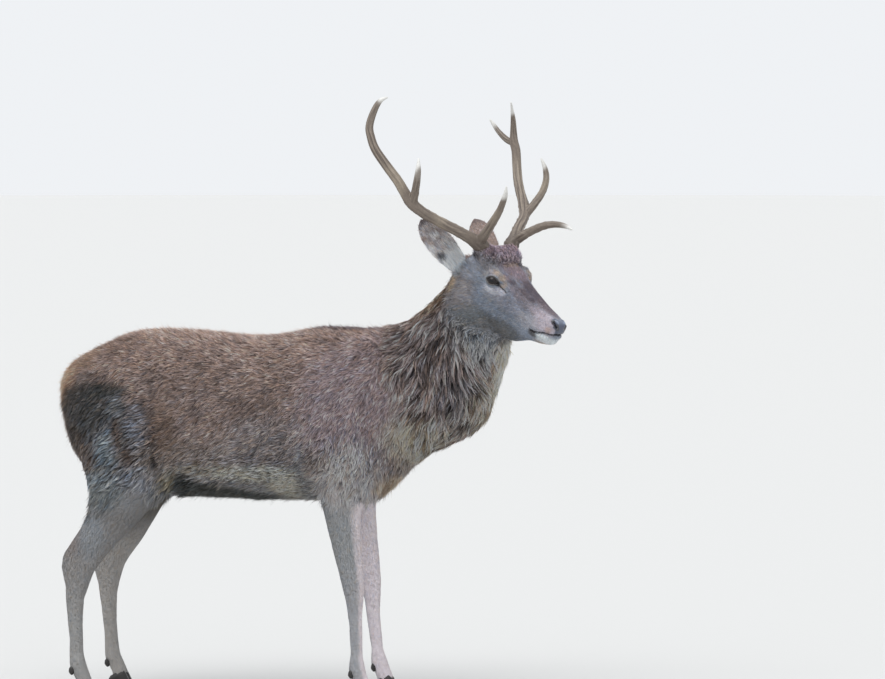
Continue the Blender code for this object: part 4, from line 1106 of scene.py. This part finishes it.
class Ground:
    """The skin as arrays, to grow hair on."""

    def __init__(self, thing):
        self.points, self.faces, self.normals = mesh_arrays(thing.data)
        uv = np.empty(len(thing.data.loops) * 2, np.float32)
        thing.data.uv_layers["OFBake"].data.foreach_get("uv", uv)
        self.uv = uv.reshape(-1, 3, 2)
        a, b, c = (self.points[self.faces[:, k]] for k in range(3))
        self.middles = (a + b + c) / 3
        self.areas = np.linalg.norm(np.cross(b - a, c - a), axis=1) / 2
        self.places = Places(self.middles)

    def sow(self, density, rng):
        """Places for hairs: density is their number for each square metre, on each face."""
        total = np.cumsum(density * self.areas)
        count = int(total[-1])
        pick = np.searchsorted(total, (np.arange(count) + rng.random(count)) * total[-1] / count)
        pick = np.minimum(pick, len(self.faces) - 1)
        r, s = rng.random(count), rng.random(count)
        flip = r + s > 1
        r[flip], s[flip] = 1 - r[flip], 1 - s[flip]
        share = np.stack([1 - r - s, r, s], axis=1)
        corner = self.faces[pick]
        where = (self.points[corner] * share[:, :, None]).sum(axis=1)
        normal = unit((self.normals[corner] * share[:, :, None]).sum(axis=1))
        uv = (self.uv[pick] * share[:, :, None]).sum(axis=1)
        return where, normal, uv


def gather(where, way, length, rng, spacing, pull):
    """Bends hairs towards the tips of their nearest neighbours, as wet or dense hair does."""
    count = max(4, int(len(where) / spacing))
    chosen = rng.choice(len(where), count, replace=False)
    tree = tree_of(where[chosen])
    owner = np.array([tree.find(place)[1] for place in where])
    head = chosen[owner]
    goal = where[head] + way[head] * length[head, None] * 1.05
    return unit(way * (1 - pull) + unit(goal - where) * pull), owner


# How wide a tuft is at each of its rings, for one ring up to four.
RING_WIDTHS = ((1.0,), (0.8, 1.0), (0.7, 1.0, 0.75), (0.6, 1.0, 0.9, 0.6))


def tuft_faces(rings, points):
    """The triangles of one tuft of this many rings, facing outwards."""
    faces = [(0, 1, 2)]
    for a in range(0, 3 * (rings - 1), 3):
        for k in range(3):
            n = (k + 1) % 3
            faces += [(a + k, a + 3 + k, a + n), (a + n, a + 3 + k, a + 3 + n)]
    last = 3 * (rings - 1)
    faces += [(last + k, 3 * rings, last + (k + 1) % 3) for k in range(3)]
    faces = np.array(faces)
    a, b, c = (points[faces[:, k]] - points.mean(axis=0) for k in range(3))
    volume = np.einsum("ij,ij->i", a, np.cross(b, c)).sum()
    return faces[:, ::-1] if volume < 0 else faces


def tufts(where, normal, uv, way, length, width, lift, root, tip, curl, rings, look):
    """Arrays of closed tapering tufts: three-sided, with this many rings below the tip."""
    side = unit(np.cross(normal, way))
    base = where - normal * look["sink"]
    low = base + way * (length * 0.42)[:, None] + normal * (lift * 0.95 + look["sink"])[:, None]
    end = base + way * length[:, None] + normal * (lift * 0.75 + look["sink"])[:, None]

    def curled(spot, share):
        return spot + side * (curl * np.sin(share * 5.0 + curl * 400))[:, None] if look["curl"] else spot

    # From its root a tuft bends over a low point to its tip.
    points, tones = [], []
    for share, size in zip(np.arange(rings) / rings, RING_WIDTHS[rings - 1]):
        spot = base * (1 - share) ** 2 + low * 2 * share * (1 - share) + end * share**2
        spot = curled(spot, share)
        half = side * (width * 0.5 * size)[:, None]
        ridge = normal * (width * look["thick"] * size)[:, None]
        points += [spot - half, spot + half, spot + ridge]
        tones += [blend(root, tip, share ** look["fade"])] * 3
    rows = np.stack([*points, curled(end, 1.0)], axis=1)
    each = rows.shape[1]
    corners = tuft_faces(rings, rows[0]) + (np.arange(len(where)) * each)[:, None, None]
    shade = np.stack([*tones, tip], axis=1).reshape(-1, 3)
    # On the map the corners of a tuft stand in a small ring.
    spread = np.array([(math.cos(6.28 * k / each), math.sin(6.28 * k / each)) for k in range(each)]) * 0.0015
    return rows.reshape(-1, 3), corners.reshape(-1, 3), shade, (uv[:, None, :] + spread).reshape(-1, 2)


def coat_piece(name, data, material, slot):
    """Makes one piece of the coat from the arrays of its tufts."""
    rows, corners, shade, patch = data
    thing = of_triangles(name, rows, corners)
    paint(thing.data, "shade", shade)
    layer = thing.data.uv_layers.new(name="OFBake")
    layer.data.foreach_set("uv", np.ascontiguousarray(patch[corners.ravel()], np.float32).ravel())
    finish(thing, material, slot)


def hair_tones(places, normals, rng, owner, look):
    """Root and tip colours of tufts: the markings, varied from clump to clump and tuft to tuft, with a painted
    warm light on the tips and bluish shade at the roots.
    """
    base = markings(places, normals)
    clump = rng.normal(size=owner.max() + 1)[owner]
    own = rng.normal(size=len(owner))
    bright = np.exp(look["contrast"] * (0.65 * clump + 0.75 * own))[:, None]
    own = rng.normal(size=len(owner))
    clump = rng.normal(size=owner.max() + 1)[owner]
    warm = 1 + np.clip(0.6 * own + 0.6 * clump, -2, 2)[:, None] * np.array((0.07, 0.0, -0.08))
    tone = np.clip(base * bright * warm, 0.004, 0.92)
    # The tint paints the colour of light: warm on the tips, where light falls, and bluish at the roots, in the
    # shade; below 0 it turns the other way.
    tint = look["tint"] * np.array((1.0, 0.0, -1.3))
    # Dark roots are lighter on the throat.
    front = ramp(0.735, 0.81, places.body[:, 0]) * places.mane * (1 - places.head)
    root = look["root"] + (0.62 - look["root"]) * front[:, None] * (look["root"] < 0.62)
    return tone * root * (1 - tint), np.clip(tone * look["tip"] * (1 + tint), 0.004, 0.95)


# What a look says of its tufts, unless it says otherwise.
PLAIN_LOOK = {
    "clump": 6, "pull": 0.35,  # tufts in a clump, and how far they bend towards its middle one's tip
    "vary": 0.18, "spread": 0.25,  # differences in length and in lift
    "stray": 0.0,  # the share of tufts that stand out
    "sway": 0.1, "drift": 0.12, "grain": 0.05,  # turns aside, singly and in waves, and the size of the waves
    "curl": 0.0, "thick": 0.42, "sink": 0.0012,  # bend, thickness for the width, depth of the root in the skin
    # The tint is painted light: a warm cast on the tips and a bluish one on the roots.
    "fade": 1.4, "tint": 0.02,  # how late the tip's colour comes, and how much warmer it is than the root's
}


def grow(name, ground, density, sizes, coat, material, slot, seed, most, rings, look):
    """Grows one kind of hair where density is above 0, in pieces of at most so many tufts."""
    look = {**PLAIN_LOOK, **look}
    rng = np.random.default_rng(seed)
    where, normal, uv = ground.sow(density, rng)
    count = len(where)
    places = Places(where)
    way = lie(places, normal)
    length, width, lift = sizes(coat, places, normal)
    length = length * np.clip(rng.normal(1.0, look["vary"], count), 0.5, 1.6)
    sway = rng.normal(0.0, look["sway"], count) + look["drift"] * ripple(where, look["grain"], seed)
    way = unit(way + np.cross(normal, way) * sway[:, None])
    way, owner = gather(where, way, length, rng, look["clump"], look["pull"])
    way = unit(way - normal * (way * normal).sum(axis=1, keepdims=True) * 0.8)
    root, tip = hair_tones(places, normal, rng, owner, look)
    lift = lift * np.clip(rng.normal(1.0, look["spread"], count), 0.2, 2.4)
    lift = np.where(rng.random(count) < look["stray"], 0.006 + lift * 1.5, lift)
    curl = look["curl"] * rng.normal(size=count) if look["curl"] else np.zeros(count)
    rows = (where, normal, uv, way, length, width, lift, root, tip, curl)
    order = np.argsort(places.body[:, 0])
    for number, chosen in enumerate(np.array_split(order, math.ceil(count / most))):
        data = tufts(*(row[chosen] for row in rows), rings, look)
        coat_piece(f"{name}_{number + 1}", data, material, slot)


def oval(places, centre, radii, low, high):
    """1 inside an oval on the left or the right, falling to 0 from low to high of its radii."""
    return 1 - ramp(low, high, np.linalg.norm((folded(places) - centre) / radii, axis=1))


# The functions named sizes give a kind of hair its length, width and lift, at places with their normals.


def body_sizes(coat, places, normal):
    """The trunk: longer hair under the belly and towards the mane."""
    under = 1 - ramp(0.63, 0.7, places.body[:, 2])
    length = coat.body_length * (1 + 0.45 * under + 0.6 * places.mane)
    return length, coat.body_width * (1 + 0.45 * places.mane), np.full(len(length), 0.01)


def wet_share(body):
    """1 where the coat is wet and stands in combed clumps: the thighs, the lower flanks and the groin."""
    thigh = oval(body, (-0.385, 0.15, 0.79), (0.15, 0.16, 0.155), 0.75, 1.1)
    flank = oval(body, (-0.02, 0.17, 0.7), (0.24, 0.1, 0.06), 0.6, 1.1)
    chest = oval(body, (0.33, 0.15, 0.76), (0.15, 0.14, 0.08), 0.6, 1.1)
    groin = oval(body, GROIN, (0.06, 0.12, 0.06), 0.6, 1.0)
    return np.maximum.reduce([thigh, 0.45 * flank, 0.22 * chest, groin])


def wet_sizes(coat, places, normal):
    """The wet clumps: longest in the groin."""
    groin = oval(places.body, GROIN, 0.06, 0.6, 1.0)
    length = coat.wet_length * (1 + 0.6 * groin)
    return length, np.full(len(length), coat.wet_width), np.full(len(length), 0.012)


def mane_sizes(coat, places, normal):
    """The mane: shorter locks near the head, towards the trunk and on the nape, flatter ones on the throat."""
    x, y, z = places.body.T
    rise = ramp(0.03, -0.085, places.before)
    back = ramp(0.0, 0.8, places.mane)
    nape = (1 - ramp(0.02, 0.09, np.abs(y))) * ramp(0.98, 1.1, z)
    grown = (0.16 + 0.84 * rise) * (0.4 + 0.6 * back) * (1 - 0.35 * nape)
    front = ramp(0.66, 0.78, x) * (1 - ramp(0.86, 1.02, z))
    lift = (0.005 + 0.0085 * rise) * (1 - 0.55 * front)
    return coat.mane_length * grown * (1 - 0.3 * front), coat.mane_width * (0.5 + 0.5 * rise * back), lift


def leg_sizes(coat, places, normal):
    """The legs: hair that gets shorter and lies closer on the way down."""
    low = 1 - ramp(0.1, 0.5, places.body[:, 2])
    return coat.leg_length * (1.35 - 0.35 * low), coat.leg_width * (1.2 - 0.2 * low), 0.0011 - 0.0003 * low


def crown_share(local):
    """1 on the woolly brow between the antlers and round their roots."""
    top = oval(local, (-0.066, 0.025, 0.06), (0.058, 0.066, 0.036), 0.66, 1.18)
    return np.maximum(top, oval(local, (-0.092, 0.062, 0.06), 0.04, 0.7, 1.1))


def face_sizes(coat, places, normal):
    """The face: short hair on the muzzle and round the eyes, longer on the brow and further back."""
    local = places.head_at
    muzzle = ramp(0.06, 0.2, local[:, 0])
    rear = 1 - ramp(-0.13, -0.02, local[:, 0])
    brow = oval(local, (-0.01, 0.02, 0.055), 0.06, 0.6, 1.1)
    eye = oval(local, EYE, 1.0, 0.024, 0.034)
    length = coat.face_length * (1 - 0.45 * muzzle + 1.1 * rear + 0.3 * brow - 0.45 * eye)
    width = coat.face_width * (1 - 0.25 * muzzle + 0.2 * rear - 0.2 * eye)
    return length, width, 0.003 - 0.0018 * muzzle + 0.0018 * rear - 0.0012 * eye


def crown_sizes(coat, places, normal):
    """The woolly brow: longest and highest in its middle."""
    share = crown_share(places.head_at)
    return coat.crown_length * (0.5 + 0.5 * share), np.full(len(share), 0.0025), 0.003 + 0.0055 * share


def ear_sizes(coat, places, normal):
    """The ears: long hair deep in the hollow, short towards the tip."""
    hollow, along, _ = ear_side(places.head_at, normal @ HEAD_ROWS)
    length = (0.007 + 0.022 * hollow * (1 - along)) * (1 - 0.45 * ramp(0.75, 1.0, along))
    return length, 0.0013 + 0.0005 * hollow, 0.0012 + 0.005 * hollow * (1 - along)


def grow_coat(ground, coat):
    """All the hair, from the short coat of the trunk to the mane."""
    material = coat_finish()
    at = ground.places
    lids, slit = np.full((2, len(at.world)), FAR)
    for side in (1, -1):
        shape, gap, _ = lid_shape(at.head_at, side)
        lids = np.minimum(lids, np.where(gap < 0.045, shape, FAR))
    for near, gap, _ in slits_of_dark_skin_and_shade(at.head_at):
        slit[near] = np.minimum(slit[near], gap)
    # No hair grows on the nose pad, on the lids' rims and in the dark slits.
    bare = (at.nose > 0.3) | (lids < 1.7) | (slit < 0.8)
    trunk = (1 - at.head) * (1 - at.leg)
    wet = wet_share(at.body) * (1 - at.head) * (1 - 0.8 * at.leg)
    crown = crown_share(at.head_at) * (at.head > 0.5) * (1 - at.ear)
    mane = ramp(0.05, 0.5, in_mane(at.body)) * (1 - ramp(-0.005, 0.03, at.before)) * (1 - at.ear)

    def kind(name, density, sizes, slot, seed, rings=1, most=49000, **look):
        # The more rings a tuft has, the fewer of them a piece holds: each stays under 200,000 triangles.
        grow(f"coat_{name}", ground, density, sizes, coat, material, slot, seed, most, rings, look)

    kind("trunk", coat.body_count * trunk * (1 - 0.6 * mane) * (1 - 0.45 * wet), body_sizes, "coat",
         seed=11, contrast=0.37, root=0.42, tip=1.62, pull=0.45, clump=5, sway=0.22, drift=0.34,
         grain=0.02, spread=0.45, stray=0.05)
    kind("wet", coat.wet_count * wet, wet_sizes, "coat", seed=16, rings=2, most=19000,
         contrast=0.3, root=0.16, tip=1.7, pull=0.72, clump=7, sway=0.1, drift=0.18, fade=1.6, tint=-0.03)
    kind("mane", coat.mane_count * mane, mane_sizes, "mane", seed=12, rings=3, most=9000,
         contrast=0.58, root=0.07, tip=2.15, pull=0.84, clump=10, sway=0.18, drift=0.4, curl=0.0026,
         fade=1.9, tint=0.07)
    kind("legs", coat.leg_count * at.leg * (1 - at.head) * (at.body[:, 2] > HOOF_TOP), leg_sizes, "leg",
         seed=13, contrast=0.08, root=0.88, tip=0.97, pull=0.15, sway=0.03, drift=0.04,
         thick=0.25, sink=0.0005, tint=0.0)
    kind("face", coat.face_count * at.head * (1 - at.ear) * (~bare) * (1 - 0.7 * crown), face_sizes, "face",
         seed=14, contrast=0.21, root=0.66, tip=1.25, pull=0.25, sway=0.14, sink=0.0006)
    kind("crown", coat.crown_count * crown, crown_sizes, "face", seed=17, rings=4, most=8000,
         contrast=0.3, root=0.24, tip=1.85, pull=0.55, sway=0.7, drift=0.9, curl=0.0032, fade=1.6, tint=0.0)
    kind("ears", coat.ear_count * at.ear, ear_sizes, "face", seed=15,
         contrast=0.28, root=1.05, tip=1.5, pull=0.3, sway=0.26, sink=0.0004, tint=0.0)


# ---------------------------------------------------------------------------------------------- hard parts


def tube(path, radii, sides, steps):
    """A round closed bar along a curve, in the head's frame."""
    rows = through([(*p, r) for p, r in zip(path, radii)], steps)
    ways = unit(np.gradient(rows[:, :3], axis=0))
    across = unit(np.cross(ways[0], (0.0, 0.3, 1.0)))
    points, faces = [], []
    for row, way in zip(rows, ways):
        across = unit(across - way * across.dot(way))
        other = np.cross(way, across)
        for i in range(sides):
            angle = 2 * math.pi * i / sides
            points.append(row[:3] + row[3] * (across * math.cos(angle) + other * math.sin(angle)))
    count = len(rows)
    for a in range(count - 1):
        for i in range(sides):
            j = (i + 1) % sides
            faces.append((a * sides + i, a * sides + j, (a + 1) * sides + j, (a + 1) * sides + i))
    faces.append(tuple(range(sides))[::-1])
    faces.append(tuple((count - 1) * sides + i for i in range(sides)))
    return points, faces


def make_antler(side):
    """One antler: its beam and tines grown together, grooved along, knobbed at the burr, pale at the tips."""
    bars = ANTLERS[side]
    shape = bmesh.new()
    for path, radii in bars:
        points, faces = tube(path, radii, sides=20, steps=6)
        verts = [shape.verts.new(tuple(p)) for p in points]
        for face in faces:
            shape.faces.new([verts[i] for i in face])
    bmesh.ops.recalc_face_normals(shape, faces=shape.faces)
    thing = grown_together(f"antler_{side}", shape, ANTLER_CELL)
    triangulate(thing)
    points, faces, _ = mesh_arrays(thing.data)
    points = smoothed(points, faces, edges_of(thing.data), 7, 1.0, spread=6, kept=0.8)
    normals = normals_of(points, faces)
    # Each point's nearest bar: its angle round that bar, and how far it is from the bar's tip.
    gap = np.full(len(points), np.inf)
    turn, tip = np.zeros((2, len(points)))
    for path, radii in bars:
        rows = through(path, 5)
        length = np.linalg.norm(np.diff(rows, axis=0), axis=1).sum()
        far, along, spot = near_path(points, rows)
        far = far - np.interp(along, np.linspace(0, 1, len(radii)), radii)
        mine = far < gap
        gap[mine] = far[mine]
        out = points - spot
        way = unit(rows[-1] - rows[0])
        first = unit(np.cross(way, (0.2, 0.1, 1.0)))
        turn[mine] = np.arctan2(out @ np.cross(way, first), out @ first)[mine]
        tip[mine] = ((1 - along) * length)[mine]
    burr = np.linalg.norm(points - np.array(bars[0][0][2]), axis=1)
    rough = (1 - ramp(0.1, 0.55, burr)) * ramp(0.03, 0.1, tip)
    groove = np.sin(turn * 7 + 2.2 * ripple(points, 0.11, 31))
    groove = groove + 0.6 * np.sin(turn * 13 + 3 * ripple(points, 0.07, 32))
    body = ramp(0.035, 0.12, tip)
    height = 0.0003 * groove * body * (0.4 + 0.6 * rough) + 0.0003 * ripple(points, 0.012, 33) * rough
    pearls = np.maximum(ripple(points, 0.0075, 34), 0.0) * rough**2 * 0.0009
    knobs = 0.0012 + 0.0014 * np.maximum(ripple(points, 0.008, 35), -0.4)
    crown = np.exp(-(((burr - 0.02) / 0.008) ** 2)) * knobs
    points = points + normals * (height + pearls + crown)[:, None]
    dark = np.array((0.075, 0.056, 0.046))
    cavity = ramp(-1.2, 1.2, groove * (0.55 + 0.55 * ripple(points, 0.045, 38)))
    tone = dark + (np.array((0.25, 0.205, 0.165)) - dark) * (0.1 + 0.96 * cavity)[:, None]
    smear = ramp(0.1, 1.1, ripple(points * (1, 1, 0.6), 0.07, 36)) * rough
    tone = dyed(tone, (0.47, 0.4, 0.3), 0.55 * smear)
    bright = (1 - ramp(0.012, 0.058, tip + 0.012 * ripple(points, 0.03, 37))) ** 1.3
    tone = dyed(tone, (0.72, 0.71, 0.68), bright)
    tone = dyed(tone, dark, (1 - ramp(0.02, 0.06, burr)) * 0.6)
    set_points(thing.data, from_head(points))
    paint(thing.data, "shade", np.clip(tone, 0.01, 0.9))
    mark(thing.data, "wet", bright)
    return thing


def make_eye(side):
    """An eyeball with a wide dark iris, a level pupil and a raised cornea."""
    sign = 1 if side == "left" else -1
    bpy.ops.object.select_all(action="DESELECT")
    bpy.ops.mesh.primitive_uv_sphere_add(segments=64, ring_count=40, radius=EYE_RADIUS)
    thing = bpy.context.object
    thing.name = f"eyeball_{side}"
    thing.data.name = thing.name
    out, line = eye_axes(sign)
    flat = unit(points_of(thing.data))
    u, w, forward = flat.T
    off = np.arccos(np.clip(forward, -1, 1))
    swell = 0.0007 * (1 - ramp(0.0, 0.62, off))
    points = flat * (EYE_RADIUS - 0.0004 + swell)[:, None]
    rows = np.stack([line, np.cross(out, line), out], axis=0)
    set_points(thing.data, from_head(points @ rows + EYE * (1, sign, 1)))
    iris = 1 - ramp(0.66, 0.72, np.sin(off))
    pupil = 1 - ramp(0.85, 1.15, np.sqrt((u / 0.4) ** 2 + (w / 0.2) ** 2))
    ring = ramp(0.45, 0.66, np.sin(off)) * iris
    tone = dyed(np.array((0.018, 0.014, 0.014)), (0.016, 0.01, 0.01), iris) * (1 - 0.75 * ring)[:, None]
    paint(thing.data, "shade", dyed(tone, (0.004, 0.004, 0.006), pupil))
    return thing


def hoof_rings(low, high):
    """Points of one claw from its sole up to a crown that reaches into the skin."""
    rings = []
    # Shares of the claw's height, and how far each ring stands out.
    for share, out in (
        (0.0, -0.0022), (0.0, -0.0004), (0.035, 0.0), (0.2, 0.0002), (0.4, -0.0002),
        (0.6, 0.0002), (0.8, -0.0002), (0.96, 0.0), (1.04, -0.0016), (1.22, -0.005),
    ):
        toe = np.array((high[0] - 0.024 * share + out, 0.052 * share))
        heel = np.array((low[0] - out + 0.002 * (share > 0.5), 0.035 * share))
        ring = []
        for k in range(28):
            angle = 2 * math.pi * k / 28
            along, aside = (math.copysign(abs(t) ** 0.8, t) for t in (math.cos(angle), math.sin(angle)))
            spot = (toe + heel) / 2 + (toe - heel) / 2 * along
            y = (low[1] + high[1]) / 2 + ((high[1] - low[1]) / 2 + out) * aside
            ring.append((spot[0], y, max(spot[1], 0.0)))
        rings.append(ring)
    return rings


def make_hooves():
    """The eight claws, with growth rings, in one piece."""
    shape = bmesh.new()
    for name in CLAWS:
        low, high = (np.array(corner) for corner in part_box(f"hoof_{name}"))
        rows = [[shape.verts.new(p) for p in ring] for ring in hoof_rings(low, high)]
        for below, above in zip(rows, rows[1:]):
            for i in range(len(below)):
                j = (i + 1) % len(below)
                shape.faces.new((below[i], below[j], above[j], above[i]))
        shape.faces.new(rows[0][::-1])
        shape.faces.new(rows[-1])
    bmesh.ops.recalc_face_normals(shape, faces=shape.faces)
    return made_of("hooves", shape)


def make_dewclaws():
    """The eight small claws behind the fetlocks, in one piece."""
    shape = bmesh.new()
    for name in CLAWS:
        low, high = (np.array(corner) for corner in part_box(f"dewclaw_{name}"))
        middle, half = (low + high) / 2, (high - low) / 2
        made = bmesh.ops.create_uvsphere(shape, u_segments=20, v_segments=14, radius=1.0)
        for vertex in made["verts"]:
            x, y, z = vertex.co
            taper = 1 - 0.18 * ramp(-0.2, -1.0, np.array(z))
            ring = 1 + 0.02 * math.sin(z * 22)
            vertex.co = Vector(middle + half * (x * taper * ring, y * taper * ring, z))
    return made_of("dewclaws", shape)


# ---------------------------------------------------------------------------------------------- settings


class StagSizes(bpy.types.PropertyGroup):
    """Sizes of the skin and of the hair."""

    skin_cell: FloatProperty(
        name="Skin Cell", description="Size of the skin's first faces", default=0.003, unit="LENGTH"
    )
    skin_faces: IntProperty(
        name="Skin Faces", description="Triangles of the skin before its details", default=150000
    )
    body_length: FloatProperty(
        name="Body Hair", description="Length of the trunk's tufts", default=0.019, unit="LENGTH"
    )
    body_width: FloatProperty(
        name="Body Width", description="Width of the trunk's tufts", default=0.0031, unit="LENGTH"
    )
    body_count: FloatProperty(
        name="Body Density", description="Tufts on each square metre of trunk", default=96000.0
    )
    wet_length: FloatProperty(
        name="Wet Hair", description="Length of the wet clumps", default=0.029, unit="LENGTH"
    )
    wet_width: FloatProperty(
        name="Wet Width", description="Width of the wet clumps", default=0.004, unit="LENGTH"
    )
    wet_count: FloatProperty(
        name="Wet Density", description="Clumps on each square metre of wet coat", default=50000.0
    )
    mane_length: FloatProperty(
        name="Mane Hair", description="Length of the mane's locks", default=0.062, unit="LENGTH"
    )
    mane_width: FloatProperty(
        name="Mane Width", description="Width of the mane's locks", default=0.0028, unit="LENGTH"
    )
    mane_count: FloatProperty(
        name="Mane Density", description="Locks on each square metre of neck", default=84000.0
    )
    leg_length: FloatProperty(
        name="Leg Hair", description="Length of the legs' tufts", default=0.01, unit="LENGTH"
    )
    leg_width: FloatProperty(
        name="Leg Width", description="Width of the legs' tufts", default=0.0014, unit="LENGTH"
    )
    leg_count: FloatProperty(
        name="Leg Density", description="Tufts on each square metre of leg", default=84000.0
    )
    face_length: FloatProperty(
        name="Face Hair", description="Length of the face's tufts", default=0.0085, unit="LENGTH"
    )
    face_width: FloatProperty(
        name="Face Width", description="Width of the face's tufts", default=0.0017, unit="LENGTH"
    )
    face_count: FloatProperty(
        name="Face Density", description="Tufts on each square metre of face", default=230000.0
    )
    crown_length: FloatProperty(
        name="Crown Hair", description="Length of the brow's curls", default=0.018, unit="LENGTH"
    )
    crown_count: FloatProperty(
        name="Crown Density", description="Curls on each square metre of brow", default=110000.0
    )
    ear_count: FloatProperty(
        name="Ear Density", description="Tufts on each square metre of ear", default=180000.0
    )


class StagColours(bpy.types.PropertyGroup):
    """Colours that are plain over a whole piece."""

    hoof: FloatVectorProperty(
        name="Hoof", description="Colour of the horn of the hooves",
        default=(0.02, 0.018, 0.017), subtype="COLOR"
    )
    floor: FloatVectorProperty(
        name="Floor", description="Colour of the floor", default=(0.62, 0.62, 0.61), subtype="COLOR"
    )


class STAG_OT_skin(bpy.types.Operator):
    """Make the one skin from the flesh solids, with lids, lips and nostrils"""

    bl_idname = "stag.skin"
    bl_label = "Skin"

    def execute(self, context):
        thing = make_skin(context.scene.stag_sizes)
        unwrap(thing)
        colour_skin(thing)
        finish(thing, hide_finish(), "coat", FLESH)
        return {"FINISHED"}


class STAG_OT_coat(bpy.types.Operator):
    """Grow the coat in tufts and locks on the skin"""

    bl_idname = "stag.coat"
    bl_label = "Coat"

    def execute(self, context):
        grow_coat(Ground(bpy.data.objects["skin"]), context.scene.stag_sizes)
        return {"FINISHED"}


class STAG_OT_eyes(bpy.types.Operator):
    """Make both eyeballs"""

    bl_idname = "stag.eyes"
    bl_label = "Eyes"

    def execute(self, context):
        surface = eye_finish()
        for side in SIDES:
            finish(make_eye(side), surface, "eye", [f"eye_{side}"])
        return {"FINISHED"}


class STAG_OT_antlers(bpy.types.Operator):
    """Make both antlers"""

    bl_idname = "stag.antlers"
    bl_label = "Antlers"

    def execute(self, context):
        surface = antler_finish()
        for side in SIDES:
            nodes = [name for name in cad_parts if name.startswith(f"antler_{side}")]
            finish(make_antler(side), surface, "antler", nodes)
        return {"FINISHED"}


class STAG_OT_hooves(bpy.types.Operator):
    """Make the hooves and dewclaws"""

    bl_idname = "stag.hooves"
    bl_label = "Hooves"

    def execute(self, context):
        surface = hoof_finish(context.scene.stag_colours)
        finish(make_hooves(), surface, "hoof", [f"hoof_{name}" for name in CLAWS])
        finish(make_dewclaws(), surface, "hoof", [f"dewclaw_{name}" for name in CLAWS])
        return {"FINISHED"}


class STAG_OT_stage(bpy.types.Operator):
    """Lay the floor, hang the lights and set the camera"""

    bl_idname = "stag.stage"
    bl_label = "Stage"

    def execute(self, context):
        bpy.ops.object.select_all(action="DESELECT")
        bpy.ops.mesh.primitive_circle_add(vertices=96, radius=60.0, fill_type="NGON", location=(0, 0, 0))
        floor = context.object
        floor.name = "floor"
        surface, _, shader = new_material("floor")
        shader.inputs["Base Color"].default_value = (*context.scene.stag_colours.floor, 1.0)
        shader.inputs["Roughness"].default_value = 0.9
        floor.data.materials.append(surface)
        world = bpy.data.worlds.new("studio")
        context.scene.world = world
        world.use_nodes = True
        back = world.node_tree.nodes["Background"]
        back.inputs["Color"].default_value = (0.94, 0.962, 0.99, 1.0)
        back.inputs["Strength"].default_value = 0.92
        lamp = bpy.data.lights.new("sky", "SUN")
        lamp.energy = 1.7
        lamp.angle = math.radians(50.0)
        light = linked("sky", lamp)
        light.location = (-1.0, -2.0, 6.0)
        light.rotation_euler = Vector((0.18, 0.42, -1.0)).to_track_quat("-Z", "Y").to_euler()
        swing, rise = (math.radians(a) for a in VIEW_FROM)
        out = Vector((math.sin(swing) * math.cos(rise), -math.cos(swing) * math.cos(rise), math.sin(rise)))
        view = bpy.data.cameras.new("camera")
        view.sensor_width = 36.0
        view.lens = VIEW_LENS
        view.clip_end = 200.0
        camera = linked("camera", view)
        camera.location = Vector(VIEW_AT) + Vector(BODY_AT) + out * VIEW_DISTANCE
        camera.rotation_euler = (-out).to_track_quat("-Z", "Y").to_euler()
        context.scene.camera = camera
        context.scene.view_settings.view_transform = "Standard"
        return {"FINISHED"}


class STAG_PT_panel(bpy.types.Panel):
    """Lists the stag's pieces"""

    bl_label = "Stag"
    bl_space_type = "VIEW_3D"
    bl_region_type = "UI"
    bl_category = "Stag"

    def draw(self, context):
        for kind in OPERATORS:
            self.layout.operator(kind.bl_idname)
        for name in StagSizes.__annotations__:
            self.layout.prop(context.scene.stag_sizes, name)
        for name in StagColours.__annotations__:
            self.layout.prop(context.scene.stag_colours, name)


OPERATORS = (STAG_OT_stage, STAG_OT_skin, STAG_OT_eyes, STAG_OT_antlers, STAG_OT_hooves, STAG_OT_coat)
CLASSES = (StagSizes, StagColours, *OPERATORS, STAG_PT_panel)


def register():
    """Makes the settings, the operators and the panel known."""
    for kind in CLASSES:
        bpy.utils.register_class(kind)
    bpy.types.Scene.stag_sizes = PointerProperty(type=StagSizes)
    bpy.types.Scene.stag_colours = PointerProperty(type=StagColours)


def unregister():
    """Undoes what register did."""
    del bpy.types.Scene.stag_colours
    del bpy.types.Scene.stag_sizes
    for kind in reversed(CLASSES):
        bpy.utils.unregister_class(kind)


def main():
    """Runs the operators in order."""
    register()
    for step in (
        bpy.ops.stag.stage, bpy.ops.stag.skin, bpy.ops.stag.eyes,
        bpy.ops.stag.antlers, bpy.ops.stag.hooves, bpy.ops.stag.coat,
    ):
        step()


if __name__ == "__main__":
    main()
